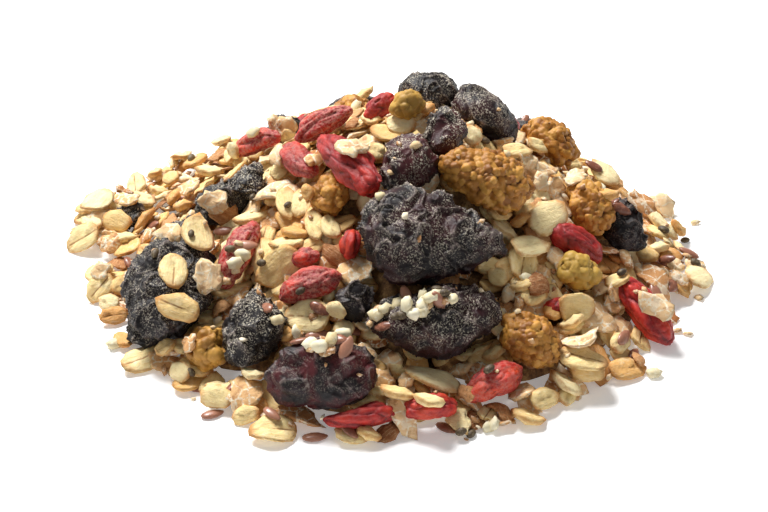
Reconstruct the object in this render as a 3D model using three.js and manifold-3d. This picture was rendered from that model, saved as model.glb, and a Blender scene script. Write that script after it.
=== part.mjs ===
// A heap of muesli as it lies after being poured out: rolled oats and other flakes, with raisins, goji
// berries and dried mulberries lying in it and on it. Millimetres and degrees, +Z up. The heap rests on
// z = 0 round the origin, +X is to the right seen from the front, and the front faces -Y.
import * as THREE from "three";
import { mergeVertices } from "three/addons/utils/BufferGeometryUtils.js";
import Module from "manifold-3d";

const wasm = await Module();
wasm.setup();

// The outline of the heap of flakes. The rim's radius is given every 30 degrees, from +X turning to +Y.
const rimRadii = [59, 57.5, 55, 53, 55.5, 59.6, 59, 57, 55.4, 54, 53.6, 56.5];
const apex = new THREE.Vector2(7, 4);
const heapHeight = 34.5;
const domeShare = 0.5; // 0 would be a straight cone, 1 a bell
const setDown = new THREE.Vector3(0.4, 0.1, 0); // so that the finished heap's box stands on the origin

// The bare core under the flakes that show.
const coreDepth = 1.9; // the core's skin lies this far under the outline
const coreInset = 3.6; // and its rim this far inside it
const coreBump = 0.5;
const coreSides = 24;
const coreRings = 6;

// A rolled oat flake, the size that most flakes have.
const flakeLength = 9;
const flakeWidth = 7;
const flakeThickness = 1.4;
const flakeSides = 6;
const flakeTries = 812; // places tried, the fruits and the flakes themselves take most
const flakeSpacing = 5.2; // between the middles of two flakes
const flakeDepth = [0.7, 1.2]; // a flake's middle lies this far under the outline
const flakeTilt = 20; // and leans up to this much off the slope
const flakeSink = 0.35; // share of a topping's thickness that lies in the fruit

const pocketGap = 0.45; // between a fruit and what it lies in
const facetReach = [1.26, 1.07]; // a pocket of 20 or of 80 facets is this much larger than what it clears
const largeWidth = 8.6; // fruits wider than this lie in the finer pockets
const goldenAngle = Math.PI * (3 - Math.sqrt(5));

// Every dried fruit: its middle over the plan, how far that is above the outline (lift), its length, width
// and thickness, and how far its length is turned on the slope (heading), 0 along +X and 90 uphill.
// facets is how finely its form is divided, and taper narrows it towards its far end.
const raisins = [
  { at: [6, 12.5], lift: 0.4, size: [11.5, 11, 8.5], heading: 8, facets: 2 },
  { at: [17, 8.6], lift: -0.6, size: [18, 12, 9.8], heading: -8, facets: 2 },
  { at: [8.9, -3.6], lift: 1, size: [11, 8.5, 8], heading: 65, facets: 1 },
  { at: [2.7, -9.8], lift: 1.2, size: [13.5, 10.5, 8.5], heading: 52, facets: 2 },
  { at: [6.4, -22.6], lift: 3, size: [29.5, 18, 14], heading: -6, facets: 2, taper: 0.38 },
  { at: [7.8, -33], lift: 2, size: [26.5, 14, 11], heading: 7, facets: 2 },
  { at: [-39.6, -16.4], lift: 3.6, size: [33, 19.5, 13], heading: 80, facets: 2, taper: 0.35 },
  { at: [-24.4, -31], lift: 1.8, size: [15.5, 11.5, 10], heading: 82, facets: 2 },
  { at: [-12, -41.9], lift: 3.2, size: [23, 14, 11], heading: 3, facets: 2 },
  { at: [-30, 3], lift: 0.4, size: [18.5, 9.5, 8], heading: 8, facets: 2 },
  { at: [42.6, -1.2], lift: 2, size: [13.5, 11, 9], heading: 100, facets: 2 },
  { at: [-50, 13], lift: 1, size: [8, 6.5, 5.5], heading: 85, facets: 1 },
  { at: [-6.8, -28.6], lift: 0.2, size: [9, 7.5, 7], heading: 60, facets: 1 },
  { at: [-20.5, 22.5], lift: 1, size: [9, 7.5, 6.5], heading: 0, facets: 1 },
  // Round the back, where the same mix carries on.
  { at: [28, 35], lift: 1.2, size: [16, 11, 9], heading: 20, facets: 2 },
  { at: [-7, 42], lift: 1.4, size: [18, 12, 9.5], heading: 20, facets: 2 },
  { at: [19, 46.5], lift: 0.9, size: [9, 7.5, 6.5], heading: 40, facets: 1 },
  { at: [8, 48], lift: 1.2, size: [11, 8, 7], heading: -30, facets: 1 },
];
const gojis = [
  { at: [-6.8, -9.4], lift: 2.8, size: [24, 8, 6.6], heading: -50 },
  { at: [-12.9, 9], lift: 1.5, size: [12.5, 6.4, 5.4], heading: 4 },
  { at: [-26, 18.6], lift: 1.8, size: [13, 5.6, 5], heading: -30 },
  { at: [-17.4, 0.8], lift: 0.9, size: [14.5, 6.2, 5.6], heading: -60 },
  { at: [-2.4, 7.4], lift: 0.3, size: [7.5, 5.2, 5], heading: 35 },
  { at: [-27.7, -14], lift: 0.7, size: [15, 7, 6], heading: 62 },
  { at: [-14.8, -25.2], lift: 0.8, size: [12.5, 6.6, 6], heading: 14 },
  { at: [-7.6, -19.2], lift: -0.6, size: [6, 4.4, 4.2], heading: 75 },
  { at: [32.6, -12.2], lift: 0.9, size: [13, 6.4, 6], heading: -12 },
  { at: [45, -19.6], lift: 1.8, size: [16.5, 7.4, 6.4], heading: -50 },
  { at: [17.2, -40.6], lift: 1, size: [12.5, 6.6, 6], heading: 33 },
  { at: [-5.9, -47.6], lift: 1.4, size: [13.4, 5.8, 5.2], heading: 4 },
  { at: [5.8, -46.3], lift: 1.4, size: [10.8, 5.4, 5], heading: 9 },
  { at: [-15.6, -19.6], lift: 0, size: [5.6, 4.2, 4], heading: 0 },
  { at: [29.4, -24.4], lift: 0, size: [6.6, 4, 3.6], heading: 12 },
  // Round the back.
  { at: [18, 27], lift: 1.2, size: [16, 7, 6], heading: -30 },
  { at: [-16, 44], lift: 1, size: [12, 6.2, 5.4], heading: 50 },
  { at: [13, 38], lift: 1.1, size: [13, 6.4, 5.8], heading: 75 },
];
const mulberries = [
  { at: [15.8, -10.6], lift: 2.6, size: [19.5, 11, 9.5], heading: -12, facets: 2, taper: -0.3 },
  { at: [29.6, 14], lift: 2, size: [12, 9.4, 8.6], heading: -15, facets: 2 },
  { at: [35.8, -2.6], lift: 1.6, size: [12, 9, 8], heading: -60, facets: 2 },
  { at: [32.8, -17.4], lift: 0.9, size: [9, 7.4, 6.8], heading: -10, facets: 1 },
  { at: [23.6, -33], lift: 1.7, size: [12, 9.4, 8.8], heading: -38, facets: 2 },
  { at: [-32, -31.4], lift: 1.2, size: [9.6, 8.4, 7.4], heading: 20, facets: 1 },
  { at: [-11.4, -10], lift: -0.2, size: [8.4, 7.4, 6.4], heading: 70, facets: 1 },
  { at: [2.4, 3], lift: 1.1, size: [6.8, 5.8, 5.6], heading: 60, facets: 1 },
  // Round the back.
  { at: [3, 35], lift: 1.2, size: [13, 9.4, 8.4], heading: 35, facets: 2 },
  { at: [-8, 29], lift: 0.8, size: [9, 7.6, 7], heading: -30, facets: 1 },
];

// The small things lying on the large raisins, by the raisin's number: their place along and across it,
// their length and width, and how far they are turned on it.
const toppings = {
  5: [{ on: [1, 6.5], size: [6.4, 4], turn: 15 }],
  6: [
    { on: [-5, 1.5], size: [5.4, 3.4], turn: 60 },
    { on: [0, 3], size: [5.4, 3.8], turn: 10 },
    { on: [-4, -3], size: [4.4, 2.4], turn: 15 },
    { on: [7, 2.5], size: [3, 2.6], turn: 0 },
  ],
  7: [
    { on: [8.5, 0.5], size: [6.4, 5.2], turn: 20 },
    { on: [6.5, -5], size: [8.4, 5.6], turn: 75 },
    { on: [1.5, 0], size: [8, 5.4], turn: 5 },
    { on: [-5.5, -1.5], size: [8, 5], turn: 70 },
  ],
  9: [
    { on: [-4, 3], size: [8.6, 4.6], turn: 3 },
    { on: [3, 3.4], size: [5.8, 4.4], turn: -20 },
    { on: [5.5, 0], size: [4.2, 2.4], turn: 75 },
  ],
  11: [{ on: [2, 1], size: [4.2, 2.4], turn: 80 }],
};

// A repeatable draw of numbers from 0 to 1.
function seeded(seed) {
  let state = seed;
  return () => {
    state = (state + 0x6d2b79f5) | 0;
    let mixed = Math.imul(state ^ (state >>> 15), 1 | state);
    mixed = (mixed + Math.imul(mixed ^ (mixed >>> 7), 61 | mixed)) ^ mixed;
    return ((mixed ^ (mixed >>> 14)) >>> 0) / 4294967296;
  };
}

function radians(degrees) {
  return THREE.MathUtils.degToRad(degrees);
}

// The rim as one smooth closed curve, looked up by the angle seen from the origin.
function rimRadius(angle) {
  const step = (2 * Math.PI) / rimRadii.length;
  const turned = ((angle % (2 * Math.PI)) + 2 * Math.PI) % (2 * Math.PI);
  const index = Math.floor(turned / step);
  const f = turned / step - index;
  const [a, b, c, d] = [-1, 0, 1, 2].map((k) => rimRadii[(index + k + rimRadii.length) % rimRadii.length]);
  return b + 0.5 * f * (c - a + f * (2 * a - 5 * b + 4 * c - d + f * (3 * (b - c) + d - a)));
}

// From the apex to the rim in one direction.
function reach(angle) {
  return rimRadius(angle) - apex.x * Math.cos(angle) - apex.y * Math.sin(angle);
}

// The height of the heap's outline over a point of the plan: 1 at the apex, 0 at the rim.
function fall(share) {
  const bell = Math.cos((Math.PI / 2) * share) ** 2;
  return domeShare * bell + (1 - domeShare) * (1 - share);
}

function outlineHeight(x, y) {
  const angle = Math.atan2(y - apex.y, x - apex.x);
  const share = Math.hypot(x - apex.x, y - apex.y) / reach(angle);
  return heapHeight * fall(Math.min(share, 1));
}

// The slope's outward normal, from the outline's height a step away on each side.
function slopeNormal(x, y) {
  const step = 3;
  const dx = (outlineHeight(x + step, y) - outlineHeight(x - step, y)) / (2 * step);
  const dy = (outlineHeight(x, y + step) - outlineHeight(x, y - step)) / (2 * step);
  return new THREE.Vector3(-dx, -dy, 1).normalize();
}

// Turns local X along the slope by heading and local Z out of it.
function onSlope(normal, heading) {
  const along = new THREE.Vector3(1, 0, 0).projectOnPlane(normal).normalize();
  const uphill = new THREE.Vector3().crossVectors(normal, along);
  const turned = along.multiplyScalar(Math.cos(heading)).addScaledVector(uphill, Math.sin(heading));
  const across = new THREE.Vector3().crossVectors(normal, turned);
  const basis = new THREE.Matrix4().makeBasis(turned, across, normal);
  return new THREE.Quaternion().setFromRotationMatrix(basis);
}

function weld(geometry) {
  geometry.deleteAttribute("normal");
  geometry.deleteAttribute("uv");
  return mergeVertices(geometry, 1e-4);
}

function solid(geometry) {
  const vertProperties = new Float32Array(geometry.attributes.position.array);
  const triVerts = new Uint32Array(geometry.index.array);
  return new wasm.Manifold(new wasm.Mesh({ numProp: 3, vertProperties, triVerts }));
}

// A mesh's solid where the mesh lies in the heap.
function placedSolid(mesh) {
  return solid(mesh.geometry.clone().applyMatrix4(mesh.matrix));
}

function geometryOf(made) {
  const { vertProperties, triVerts } = made.getMesh();
  const geometry = new THREE.BufferGeometry();
  geometry.setAttribute("position", new THREE.BufferAttribute(vertProperties, 3));
  geometry.setIndex(new THREE.BufferAttribute(triVerts, 1));
  return geometry;
}

// The largest body of a solid, without the loose scraps that a cut leaves.
function mainBody(made) {
  return made.decompose().reduce((best, body) => (body.volume() > best.volume() ? body : best));
}

function shapeVertices(geometry, shape) {
  const place = geometry.attributes.position;
  const point = new THREE.Vector3();
  for (let i = 0; i < place.count; i++) {
    point.fromBufferAttribute(place, i);
    shape(point);
    place.setXYZ(i, point.x, point.y, point.z);
  }
  return geometry;
}

// A raisin: an egg shape of soft flesh drawn into a few deep folds as it dried.
function raisinGeometry({ size, facets, taper = 0 }, seed) {
  const draw = seeded(seed);
  const folds = Array.from({ length: 5 }, () => ({
    across: new THREE.Vector3(draw() - 0.5, draw() - 0.5, draw() - 0.5).normalize(),
    pitch: 1.6 + 1.6 * draw(),
    start: 6 * draw(),
    depth: 0.09 + 0.1 * draw(),
  }));
  return shapeVertices(weld(new THREE.IcosahedronGeometry(1, facets)), (p) => {
    let radius = 1;
    for (const { across, pitch, start, depth } of folds) {
      radius -= depth * (1 - Math.abs(Math.sin(pitch * p.dot(across) + start))) ** 2;
    }
    const narrowing = 1 - taper * p.x;
    p.multiplyScalar(radius);
    p.set((p.x * size[0]) / 2, (p.y * narrowing * size[1]) / 2, (p.z * narrowing * size[2]) / 2);
  });
}

// A goji berry: a spindle with pointed ends, furrows along it and a slight bend.
function gojiGeometry({ size }, seed) {
  const draw = seeded(seed);
  const bend = 0.05 + 0.07 * draw();
  const furrow = 0.1;
  const sides = 6;
  const stations = 6;
  const spindle = weld(new THREE.SphereGeometry(1, sides, stations)).rotateZ(Math.PI / 2);
  return shapeVertices(spindle, (p) => {
    const side = Math.round((Math.atan2(p.z, p.y) / Math.PI) * (sides / 2));
    const width = 1 - furrow * (side & 1);
    const point = 0.86 + 0.14 * Math.sqrt(Math.max(0, 1 - p.x * p.x));
    p.set(
      (p.x * size[0]) / 2,
      (p.y * width * point * size[1]) / 2,
      (p.z * width * point * size[2]) / 2 + bend * size[0] * (0.35 - p.x * p.x),
    );
  });
}

// A dried mulberry: small round drupelets crowded on an egg shape. Their tops are the corners and the face
// middles of an icosahedron, so every facet corner between two of them lies in a furrow.
function mulberryGeometry({ size, facets, taper = 0 }) {
  const tops = [new THREE.IcosahedronGeometry(1, 0), new THREE.DodecahedronGeometry(1, 0)];
  const drupelets = tops.slice(0, facets).flatMap((shape) => {
    const place = weld(shape).attributes.position;
    return Array.from({ length: place.count }, (_, i) => new THREE.Vector3().fromBufferAttribute(place, i));
  });
  const furrow = 0.11;
  const crown = 0.985;
  return shapeVertices(weld(new THREE.IcosahedronGeometry(1, facets)), (p) => {
    const onTop = drupelets.some((top) => top.dot(p) > crown);
    const narrowing = 1 - taper * p.x;
    if (!onTop) p.multiplyScalar(1 - furrow);
    p.set((p.x * size[0]) / 2, (p.y * narrowing * size[1]) / 2, (p.z * narrowing * size[2]) / 2);
  });
}

// A flake: an uneven oval plate, thickest in the middle of its upper side.
function flakeGeometry(length, width, thickness, draw) {
  const uneven = 0.16;
  const crown = 0.7;
  const shell = weld(new THREE.CylinderGeometry(0.88, 1, 1, flakeSides, 1)).rotateX(Math.PI / 2);
  const stretch = Array.from({ length: flakeSides }, () => 1 - uneven * draw());
  return shapeVertices(shell, (p) => {
    const turn = Math.atan2(p.y, p.x) / (2 * Math.PI) + 1;
    const isMiddle = Math.hypot(p.x, p.y) < 0.1;
    const share = isMiddle ? 1 : stretch[Math.round(turn * flakeSides) % flakeSides];
    const height = isMiddle && p.z > 0 ? crown : p.z;
    p.set((p.x * share * length) / 2, (p.y * share * width) / 2, height * thickness);
  });
}

// The bare core: rings of the lowered outline over a flat base, with bumps the size of flakes.
function coreGeometry() {
  const draw = seeded(11);
  const dome = new THREE.SphereGeometry(1, coreSides, 2 * coreRings, 0, 2 * Math.PI, 0, Math.PI);
  return shapeVertices(weld(dome).rotateX(Math.PI / 2), (p) => {
    const angle = Math.atan2(p.y, p.x);
    const polar = Math.acos(THREE.MathUtils.clamp(p.z, -1, 1)) / (Math.PI / 2);
    const share = polar <= 1 ? polar : 2 - polar;
    const far = share * (reach(angle) - coreInset);
    const x = apex.x + far * Math.cos(angle);
    const y = apex.y + far * Math.sin(angle);
    const isUpper = polar < 0.999;
    const bump = coreBump * (2 * draw() - 1);
    p.set(x, y, isUpper ? Math.max(outlineHeight(x, y) - coreDepth + bump, 0) : 0);
  });
}

// The egg shape that a fruit takes up, with room round it, as a shape of few facets.
function pocketSolid(fruit) {
  fruit.updateMatrix();
  const [length, width, thickness] = fruit.userData.size;
  const place = fruit.geometry.attributes.position;
  const half = new THREE.Vector3(length / 2, width / 2, thickness / 2);
  const point = new THREE.Vector3();
  let furthest = 0;
  for (let i = 0; i < place.count; i++) {
    furthest = Math.max(furthest, point.fromBufferAttribute(place, i).divide(half).length());
  }
  const isLarge = Number(width > largeWidth);
  const room = half.multiplyScalar(furthest).addScalar(pocketGap).multiplyScalar(facetReach[isLarge]);
  const egg = weld(new THREE.IcosahedronGeometry(1, isLarge)).scale(room.x, room.y, room.z);
  return solid(egg.applyMatrix4(fruit.matrix));
}

// Lays a fruit in the slope of the heap, its lowest point no lower than the ground.
function layFruit(name, geometry, { at, lift, heading, size }, material) {
  const [x, y] = at;
  const mesh = new THREE.Mesh(geometry, material);
  mesh.name = name;
  mesh.userData.size = size;
  mesh.quaternion.copy(onSlope(slopeNormal(x, y), radians(heading)));
  const turned = geometry.clone().applyQuaternion(mesh.quaternion);
  turned.computeBoundingBox();
  const restHeight = pocketGap - turned.boundingBox.min.z;
  mesh.position.set(x, y, Math.max(outlineHeight(x, y) + lift, restHeight));
  return mesh;
}

// Takes the pockets of the fruits laid before it out of a fruit that presses on them.
function pressAgainst(mesh, earlier) {
  mesh.updateMatrix();
  const whole = placedSolid(mesh);
  const touching = earlier.filter((other) => {
    const laid = placedSolid(other);
    return whole.intersect(laid).volume() > 0 || whole.minGap(laid, 1) < pocketGap;
  });
  if (!touching.length) return;
  const left = touching.reduce((rest, other) => rest.subtract(pocketSolid(other)), whole);
  mesh.geometry = geometryOf(mainBody(left)).applyMatrix4(mesh.matrix.clone().invert());
}

// Fuses flakes and seeds on a fruit, each a little sunk in the skin under it.
function addToppings(mesh, list, seed) {
  const draw = seeded(seed);
  const caster = new THREE.Raycaster();
  const down = new THREE.Vector3(0, 0, -1);
  const probe = new THREE.Mesh(mesh.geometry, new THREE.MeshBasicMaterial({ side: THREE.DoubleSide }));
  let whole = solid(mesh.geometry);
  for (const { on, size, turn } of list) {
    const above = new THREE.Vector3(on[0], on[1], mesh.userData.size[2]);
    caster.set(above, down);
    const [hit] = caster.intersectObject(probe);
    if (!hit) continue;
    const thickness = flakeThickness * Math.min(1, size[1] / 3.5);
    const facing = hit.face.normal.clone().lerp(new THREE.Vector3(0, 0, 1), 0.35).normalize();
    const flake = flakeGeometry(size[0], size[1], thickness, draw);
    flake.applyQuaternion(onSlope(facing, radians(turn)));
    const at = hit.point.addScaledVector(facing, thickness * (0.5 - flakeSink));
    flake.translate(at.x, at.y, at.z);
    whole = whole.add(solid(flake));
  }
  mesh.geometry = geometryOf(mainBody(whole));
}

// One flake lying on the slope at a point of the plan, none of it through the ground.
function flakeOnSlope(x, y, scale, draw) {
  const length = flakeLength * scale;
  const width = flakeWidth * scale * (0.8 + 0.2 * draw());
  const depth = THREE.MathUtils.lerp(...flakeDepth, draw());
  const height = Math.max(outlineHeight(x, y) - depth, flakeThickness / 2);
  const flake = flakeGeometry(length, width, flakeThickness, draw);
  flake.rotateX(radians(flakeTilt) * (2 * draw() - 1));
  flake.rotateY(radians(flakeTilt) * (2 * draw() - 1));
  flake.applyQuaternion(onSlope(slopeNormal(x, y), 2 * Math.PI * draw()));
  flake.translate(x, y, height);
  return solid(shapeVertices(flake, (p) => p.setZ(Math.max(p.z, 0))));
}

// Flakes spread evenly over the slope and turned at random. One that would cross a fruit's pocket is tried
// again smaller and then skipped, and so is one too near the middle of the last ones laid.
function flakeSolids(pockets) {
  const draw = seeded(5);
  const flakes = [];
  const middles = [];
  for (let i = 0; i < flakeTries; i++) {
    const angle = i * goldenAngle;
    const far = (reach(angle) - 0.35 * flakeWidth) * Math.sqrt((i + 0.4) / flakeTries);
    const middle = new THREE.Vector2(far * Math.cos(angle), far * Math.sin(angle)).add(apex);
    if (middles.some((other) => other.distanceTo(middle) < flakeSpacing)) continue;
    const wanted = 0.9 + 0.3 * draw();
    const flake = [wanted, 0.8 * wanted, 0.6 * wanted]
      .map((scale) => flakeOnSlope(middle.x, middle.y, scale, draw))
      .find((tried) => pockets.every((pocket) => tried.intersect(pocket).volume() === 0));
    if (!flake) continue;
    flakes.push(flake);
    middles.push(middle);
  }
  return flakes;
}

const oatSkin = new THREE.MeshStandardMaterial({ color: 0xdcc190, roughness: 0.85, metalness: 0 });
const raisinSkin = new THREE.MeshStandardMaterial({ color: 0x2a2028, roughness: 0.5, metalness: 0 });
const gojiSkin = new THREE.MeshStandardMaterial({ color: 0xc02a24, roughness: 0.4, metalness: 0 });
const mulberrySkin = new THREE.MeshStandardMaterial({ color: 0xa8752f, roughness: 0.6, metalness: 0 });

function numbered(kind, number) {
  return kind + "_" + String(number).padStart(2, "0");
}

const heap = new THREE.Group();
heap.position.copy(setDown);
const fruits = [];

function addFruits(list, kind, shape, material, firstSeed) {
  list.forEach((fruit, i) => {
    const mesh = layFruit(numbered(kind, i + 1), shape(fruit, firstSeed + i), fruit, material);
    pressAgainst(mesh, fruits);
    fruits.push(mesh);
  });
}

addFruits(raisins, "raisin", raisinGeometry, raisinSkin, 100);
addFruits(gojis, "goji", gojiGeometry, gojiSkin, 200);
addFruits(mulberries, "mulberry", mulberryGeometry, mulberrySkin, 300);

const pockets = fruits.map(pocketSolid);
const core = pockets.reduce((left, pocket) => left.subtract(pocket), solid(coreGeometry()));
const covered = flakeSolids(pockets).reduce((whole, flake) => whole.add(flake), core);
const flakeHeap = new THREE.Mesh(geometryOf(mainBody(covered)), oatSkin);
flakeHeap.name = "flake_heap";
heap.add(flakeHeap);

for (const [number, list] of Object.entries(toppings)) {
  addToppings(fruits[number - 1], list, 400 + Number(number));
}
heap.add(...fruits);

export default heap;
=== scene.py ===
import math

import bmesh
import bpy
import numpy as np
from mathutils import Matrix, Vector, kdtree, noise
from mathutils.bvhtree import BVHTree


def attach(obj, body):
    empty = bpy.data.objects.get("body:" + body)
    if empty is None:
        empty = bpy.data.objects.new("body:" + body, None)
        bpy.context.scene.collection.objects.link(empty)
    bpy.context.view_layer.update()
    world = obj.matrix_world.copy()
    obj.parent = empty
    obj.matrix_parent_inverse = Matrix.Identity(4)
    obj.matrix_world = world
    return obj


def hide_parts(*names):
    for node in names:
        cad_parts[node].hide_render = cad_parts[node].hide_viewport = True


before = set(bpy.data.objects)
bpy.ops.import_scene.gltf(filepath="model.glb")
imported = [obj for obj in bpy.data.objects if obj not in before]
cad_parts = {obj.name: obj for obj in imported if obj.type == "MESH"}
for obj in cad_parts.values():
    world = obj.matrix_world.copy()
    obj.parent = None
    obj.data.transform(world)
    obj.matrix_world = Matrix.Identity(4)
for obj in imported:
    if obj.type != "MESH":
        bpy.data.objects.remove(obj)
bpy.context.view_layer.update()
mm = 0.001  # planning is done in millimetres, meshes are in metres

view = {
    "elevation": 35.0,  # degrees above the table
    "distance": 398.0,
    "lens": 100.0,
    "sensor": 36.0,
    "aim": (-1.3, 0.1, 3.2),
    "pixelsWide": 768,  # the picture that pixel places refer to
    "pixelsHigh": 512,
}

studio = {
    "world": 0.22,
    "floorSize": 3.0,
    "floorGlow": 0.22,  # a sweep lit from below, which keeps it white in the shadows
    "keyPower": 23.5,
    "keySize": 0.42,
    "keyPlace": (-0.35, 0.5, 0.95),
    "fillPower": 0.5,
    "fillSize": 0.7,
    "fillPlace": (0.3, -0.8, 0.6),
}


def toLinear(hexCode):
    parts = [int(hexCode[i:i + 2], 16) / 255 for i in (1, 3, 5)]
    linear = [c / 12.92 if c <= 0.04045 else ((c + 0.055) / 1.055) ** 2.4 for c in parts]
    return (*linear, 1.0)


# Adds a node, sets its properties, fills or links its inputs by name or number, and gives one output.
def addNode(tree, kind, settings=None, inputs=None, output=0):
    node = tree.nodes.new("ShaderNode" + kind)
    for name, value in (settings or {}).items():
        if name == "stops":
            ramp = node.color_ramp
            while len(ramp.elements) < len(value):
                ramp.elements.new(0.5)
            for element, (place, colour) in zip(ramp.elements, value):
                element.position = place
                element.color = toLinear(colour)
        else:
            setattr(node, name, value)
    for name, value in (inputs or {}).items():
        if isinstance(value, bpy.types.NodeSocket):
            tree.links.new(value, node.inputs[name])
        else:
            node.inputs[name].default_value = value
    return node.outputs[output]


# A material with what its patterns are made from: the place on the piece, then noises, each given by the
# size of its grains in millimetres, its detail and its roughness, then the piece's own marks.
def startMaterial(name, shading, grains=(), marks=()):
    material = bpy.data.materials.new(name)
    material.use_nodes = True
    tree = material.node_tree
    shader = tree.nodes["Principled BSDF"]
    for key, value in shading.items():
        shader.inputs[key].default_value = value
    place = addNode(tree, "TexCoord", output="Object")
    fields = [place]
    for size, detail, roughness in grains:
        limits = {"Vector": place, "Scale": 1000 / size, "Detail": detail, "Roughness": roughness}
        fields.append(addNode(tree, "TexNoise", {}, limits))
    for mark in marks:
        fields.append(addNode(tree, "Attribute", {"attribute_name": mark}, {}, "Fac"))
    return material, tree, shader, fields


# Where all of several things hold. Each is a mask, or a value with where the mask begins, where it is full
# and, if that is less than 1, how strong it is.
def maskOf(tree, *parts):
    mask = None
    for part in parts:
        if isinstance(part, tuple):
            limits = dict(zip((0, 1, 2, 4), part))  # value, from least, from most, to most
            part = addNode(tree, "MapRange", {"interpolation_type": "SMOOTHSTEP"}, limits)
        if mask is not None:
            part = addNode(tree, "Math", {"operation": "MULTIPLY"}, {0: mask, 1: part})
        mask = part
    return mask


# Paints colours over a base one after another, each where all its masks hold.
def layerColours(tree, base, layers):
    colour = base
    for *parts, paint in layers:
        shares = {0: maskOf(tree, *parts), 6: colour, 7: toLinear(paint)}
        colour = addNode(tree, "Mix", {"data_type": "RGBA"}, shares, 2)
    return colour


# Noise drawn out into fibres along a piece, on its own shape.
def fibresOf(tree, local, stretch):
    vector = addNode(tree, "VectorMath", {"operation": "MULTIPLY"}, {0: local, 1: stretch})
    return addNode(tree, "TexNoise", {}, {"Vector": vector, "Scale": 1.0, "Detail": 3.0, "Roughness": 0.6})


# Links the colour, the relief with its strength and its depth in millimetres, and a roughness that varies.
# The relief is the sum of its patterns.
def dress(tree, shader, colour, patterns, strength, depth, rough=None):
    relief = patterns[0]
    for pattern in patterns[1:]:
        relief = addNode(tree, "Math", {"operation": "ADD"}, {0: relief, 1: pattern})
    limits = {"Strength": strength, "Distance": depth * mm, "Height": relief}
    tree.links.new(colour, shader.inputs["Base Color"])
    tree.links.new(addNode(tree, "Bump", {}, limits), shader.inputs["Normal"])
    if rough is not None:
        tree.links.new(rough, shader.inputs["Roughness"])


def finishPiece(piece, material, slotName, *replaced):
    piece.data.materials.clear()
    piece.data.materials.append(material)
    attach(piece, "root")
    if replaced:
        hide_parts(*replaced)
    return piece


def linkMesh(name, mesh):
    piece = bpy.data.objects.new(name, mesh)
    bpy.context.collection.objects.link(piece)
    return piece


forms = {
    "voxel": 0.3,  # millimetres between surface points that the rounding is meant for
    "rounding": 34,  # smoothing passes that melt the CAD facets
}


# The CAD node's own form, rounded and with a dense even surface, as one closed mesh.
def roundedForm(node, voxel):
    mesh = bpy.data.meshes.new(node + "Form")
    bm = bmesh.new()
    bm.from_mesh(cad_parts[node].data)
    bmesh.ops.remove_doubles(bm, verts=bm.verts, dist=0.002 * mm)
    bm.to_mesh(mesh)
    bm.free()
    rough = linkMesh(node + "Form", mesh)
    remesh = rough.modifiers.new("even", "REMESH")
    remesh.mode = "VOXEL"
    remesh.voxel_size = voxel * mm
    smooth = rough.modifiers.new("round", "SMOOTH")
    smooth.factor = 0.5
    smooth.iterations = int(forms["rounding"] * (forms["voxel"] / voxel) ** 2)
    done = bpy.data.meshes.new_from_object(rough.evaluated_get(bpy.context.evaluated_depsgraph_get()))
    bpy.data.objects.remove(rough)
    return done


def meshArrays(mesh):
    points = np.empty(len(mesh.vertices) * 3)
    normals = np.empty(len(mesh.vertices) * 3)
    mesh.vertices.foreach_get("co", points)
    mesh.vertex_normals.foreach_get("vector", normals)
    return points.reshape(-1, 3) / mm, normals.reshape(-1, 3)


def writeSurface(mesh, points, attributes):
    points[:, 2] = np.maximum(points[:, 2], 0)  # nothing reaches into the table
    mesh.vertices.foreach_set("co", (points * mm).ravel())
    for name, values in attributes.items():
        values = np.asarray(values, dtype=float)
        kind, key = ("FLOAT_VECTOR", "vector") if values.ndim > 1 else ("FLOAT", "value")
        mesh.attributes.new(name, kind, "POINT").data.foreach_set(key, values.ravel())
    mesh.update()
    mesh.shade_smooth()


def noiseAt(points, size, seed):
    offset = Vector((seed * 7.31, seed * 3.17, seed * 5.73))
    return np.array([noise.noise(Vector(p) / size + offset) for p in points])


def longAxes(points):
    centred = points - points.mean(axis=0)
    _, axes = np.linalg.eigh(centred.T @ centred)
    return centred, axes[:, ::-1]  # longest first


raisin = {
    "seed": 11,
    "bendSize": 5.0,  # the noise that bends the lobes and ridges
    "bend": 2.2,
    "lobeSize": 8.5,
    "lobeDepth": 1.3,
    "ridgeSize": 3.6,  # the thin worm-like ridges
    "ridgeHeight": 0.7,
    "fineSize": 1.9,
    "fineHeight": 0.32,
    "thinness": 0.15,
    "regrow": 0.32,  # what the rounding took off, millimetres
    "voxel": 0.25,
}
# How much flour lies on a raisin, how red it is, and how strong its ridges are.
dusty = {"raisin_01": 0.7, "raisin_02": 0.7, "raisin_06": 0.8, "raisin_08": 1.0, "raisin_10": 0.9,
         "raisin_05": 0.6, "raisin_07": 0.6, "raisin_12": 0.8, "raisin_04": 0.9, "raisin_03": 1.0,
         "raisin_09": 0.2}
ruddy = {"raisin_03": 0.7, "raisin_04": 0.8, "raisin_09": 1.1, "raisin_05": 0.4, "raisin_06": 0.35,
         "raisin_02": 0.35}
ridged = {"raisin_09": 0.4, "raisin_02": 0.35, "raisin_01": 0.75, "raisin_03": 1.1, "raisin_04": 0.9}


# High along the lines where a noise changes sign: a net of thin winding ridges.
def thinRidges(points, size, seed):
    return np.clip(1 - np.abs(noiseAt(points, size, seed)) / raisin["thinness"], 0, 1) ** 1.3


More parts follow.
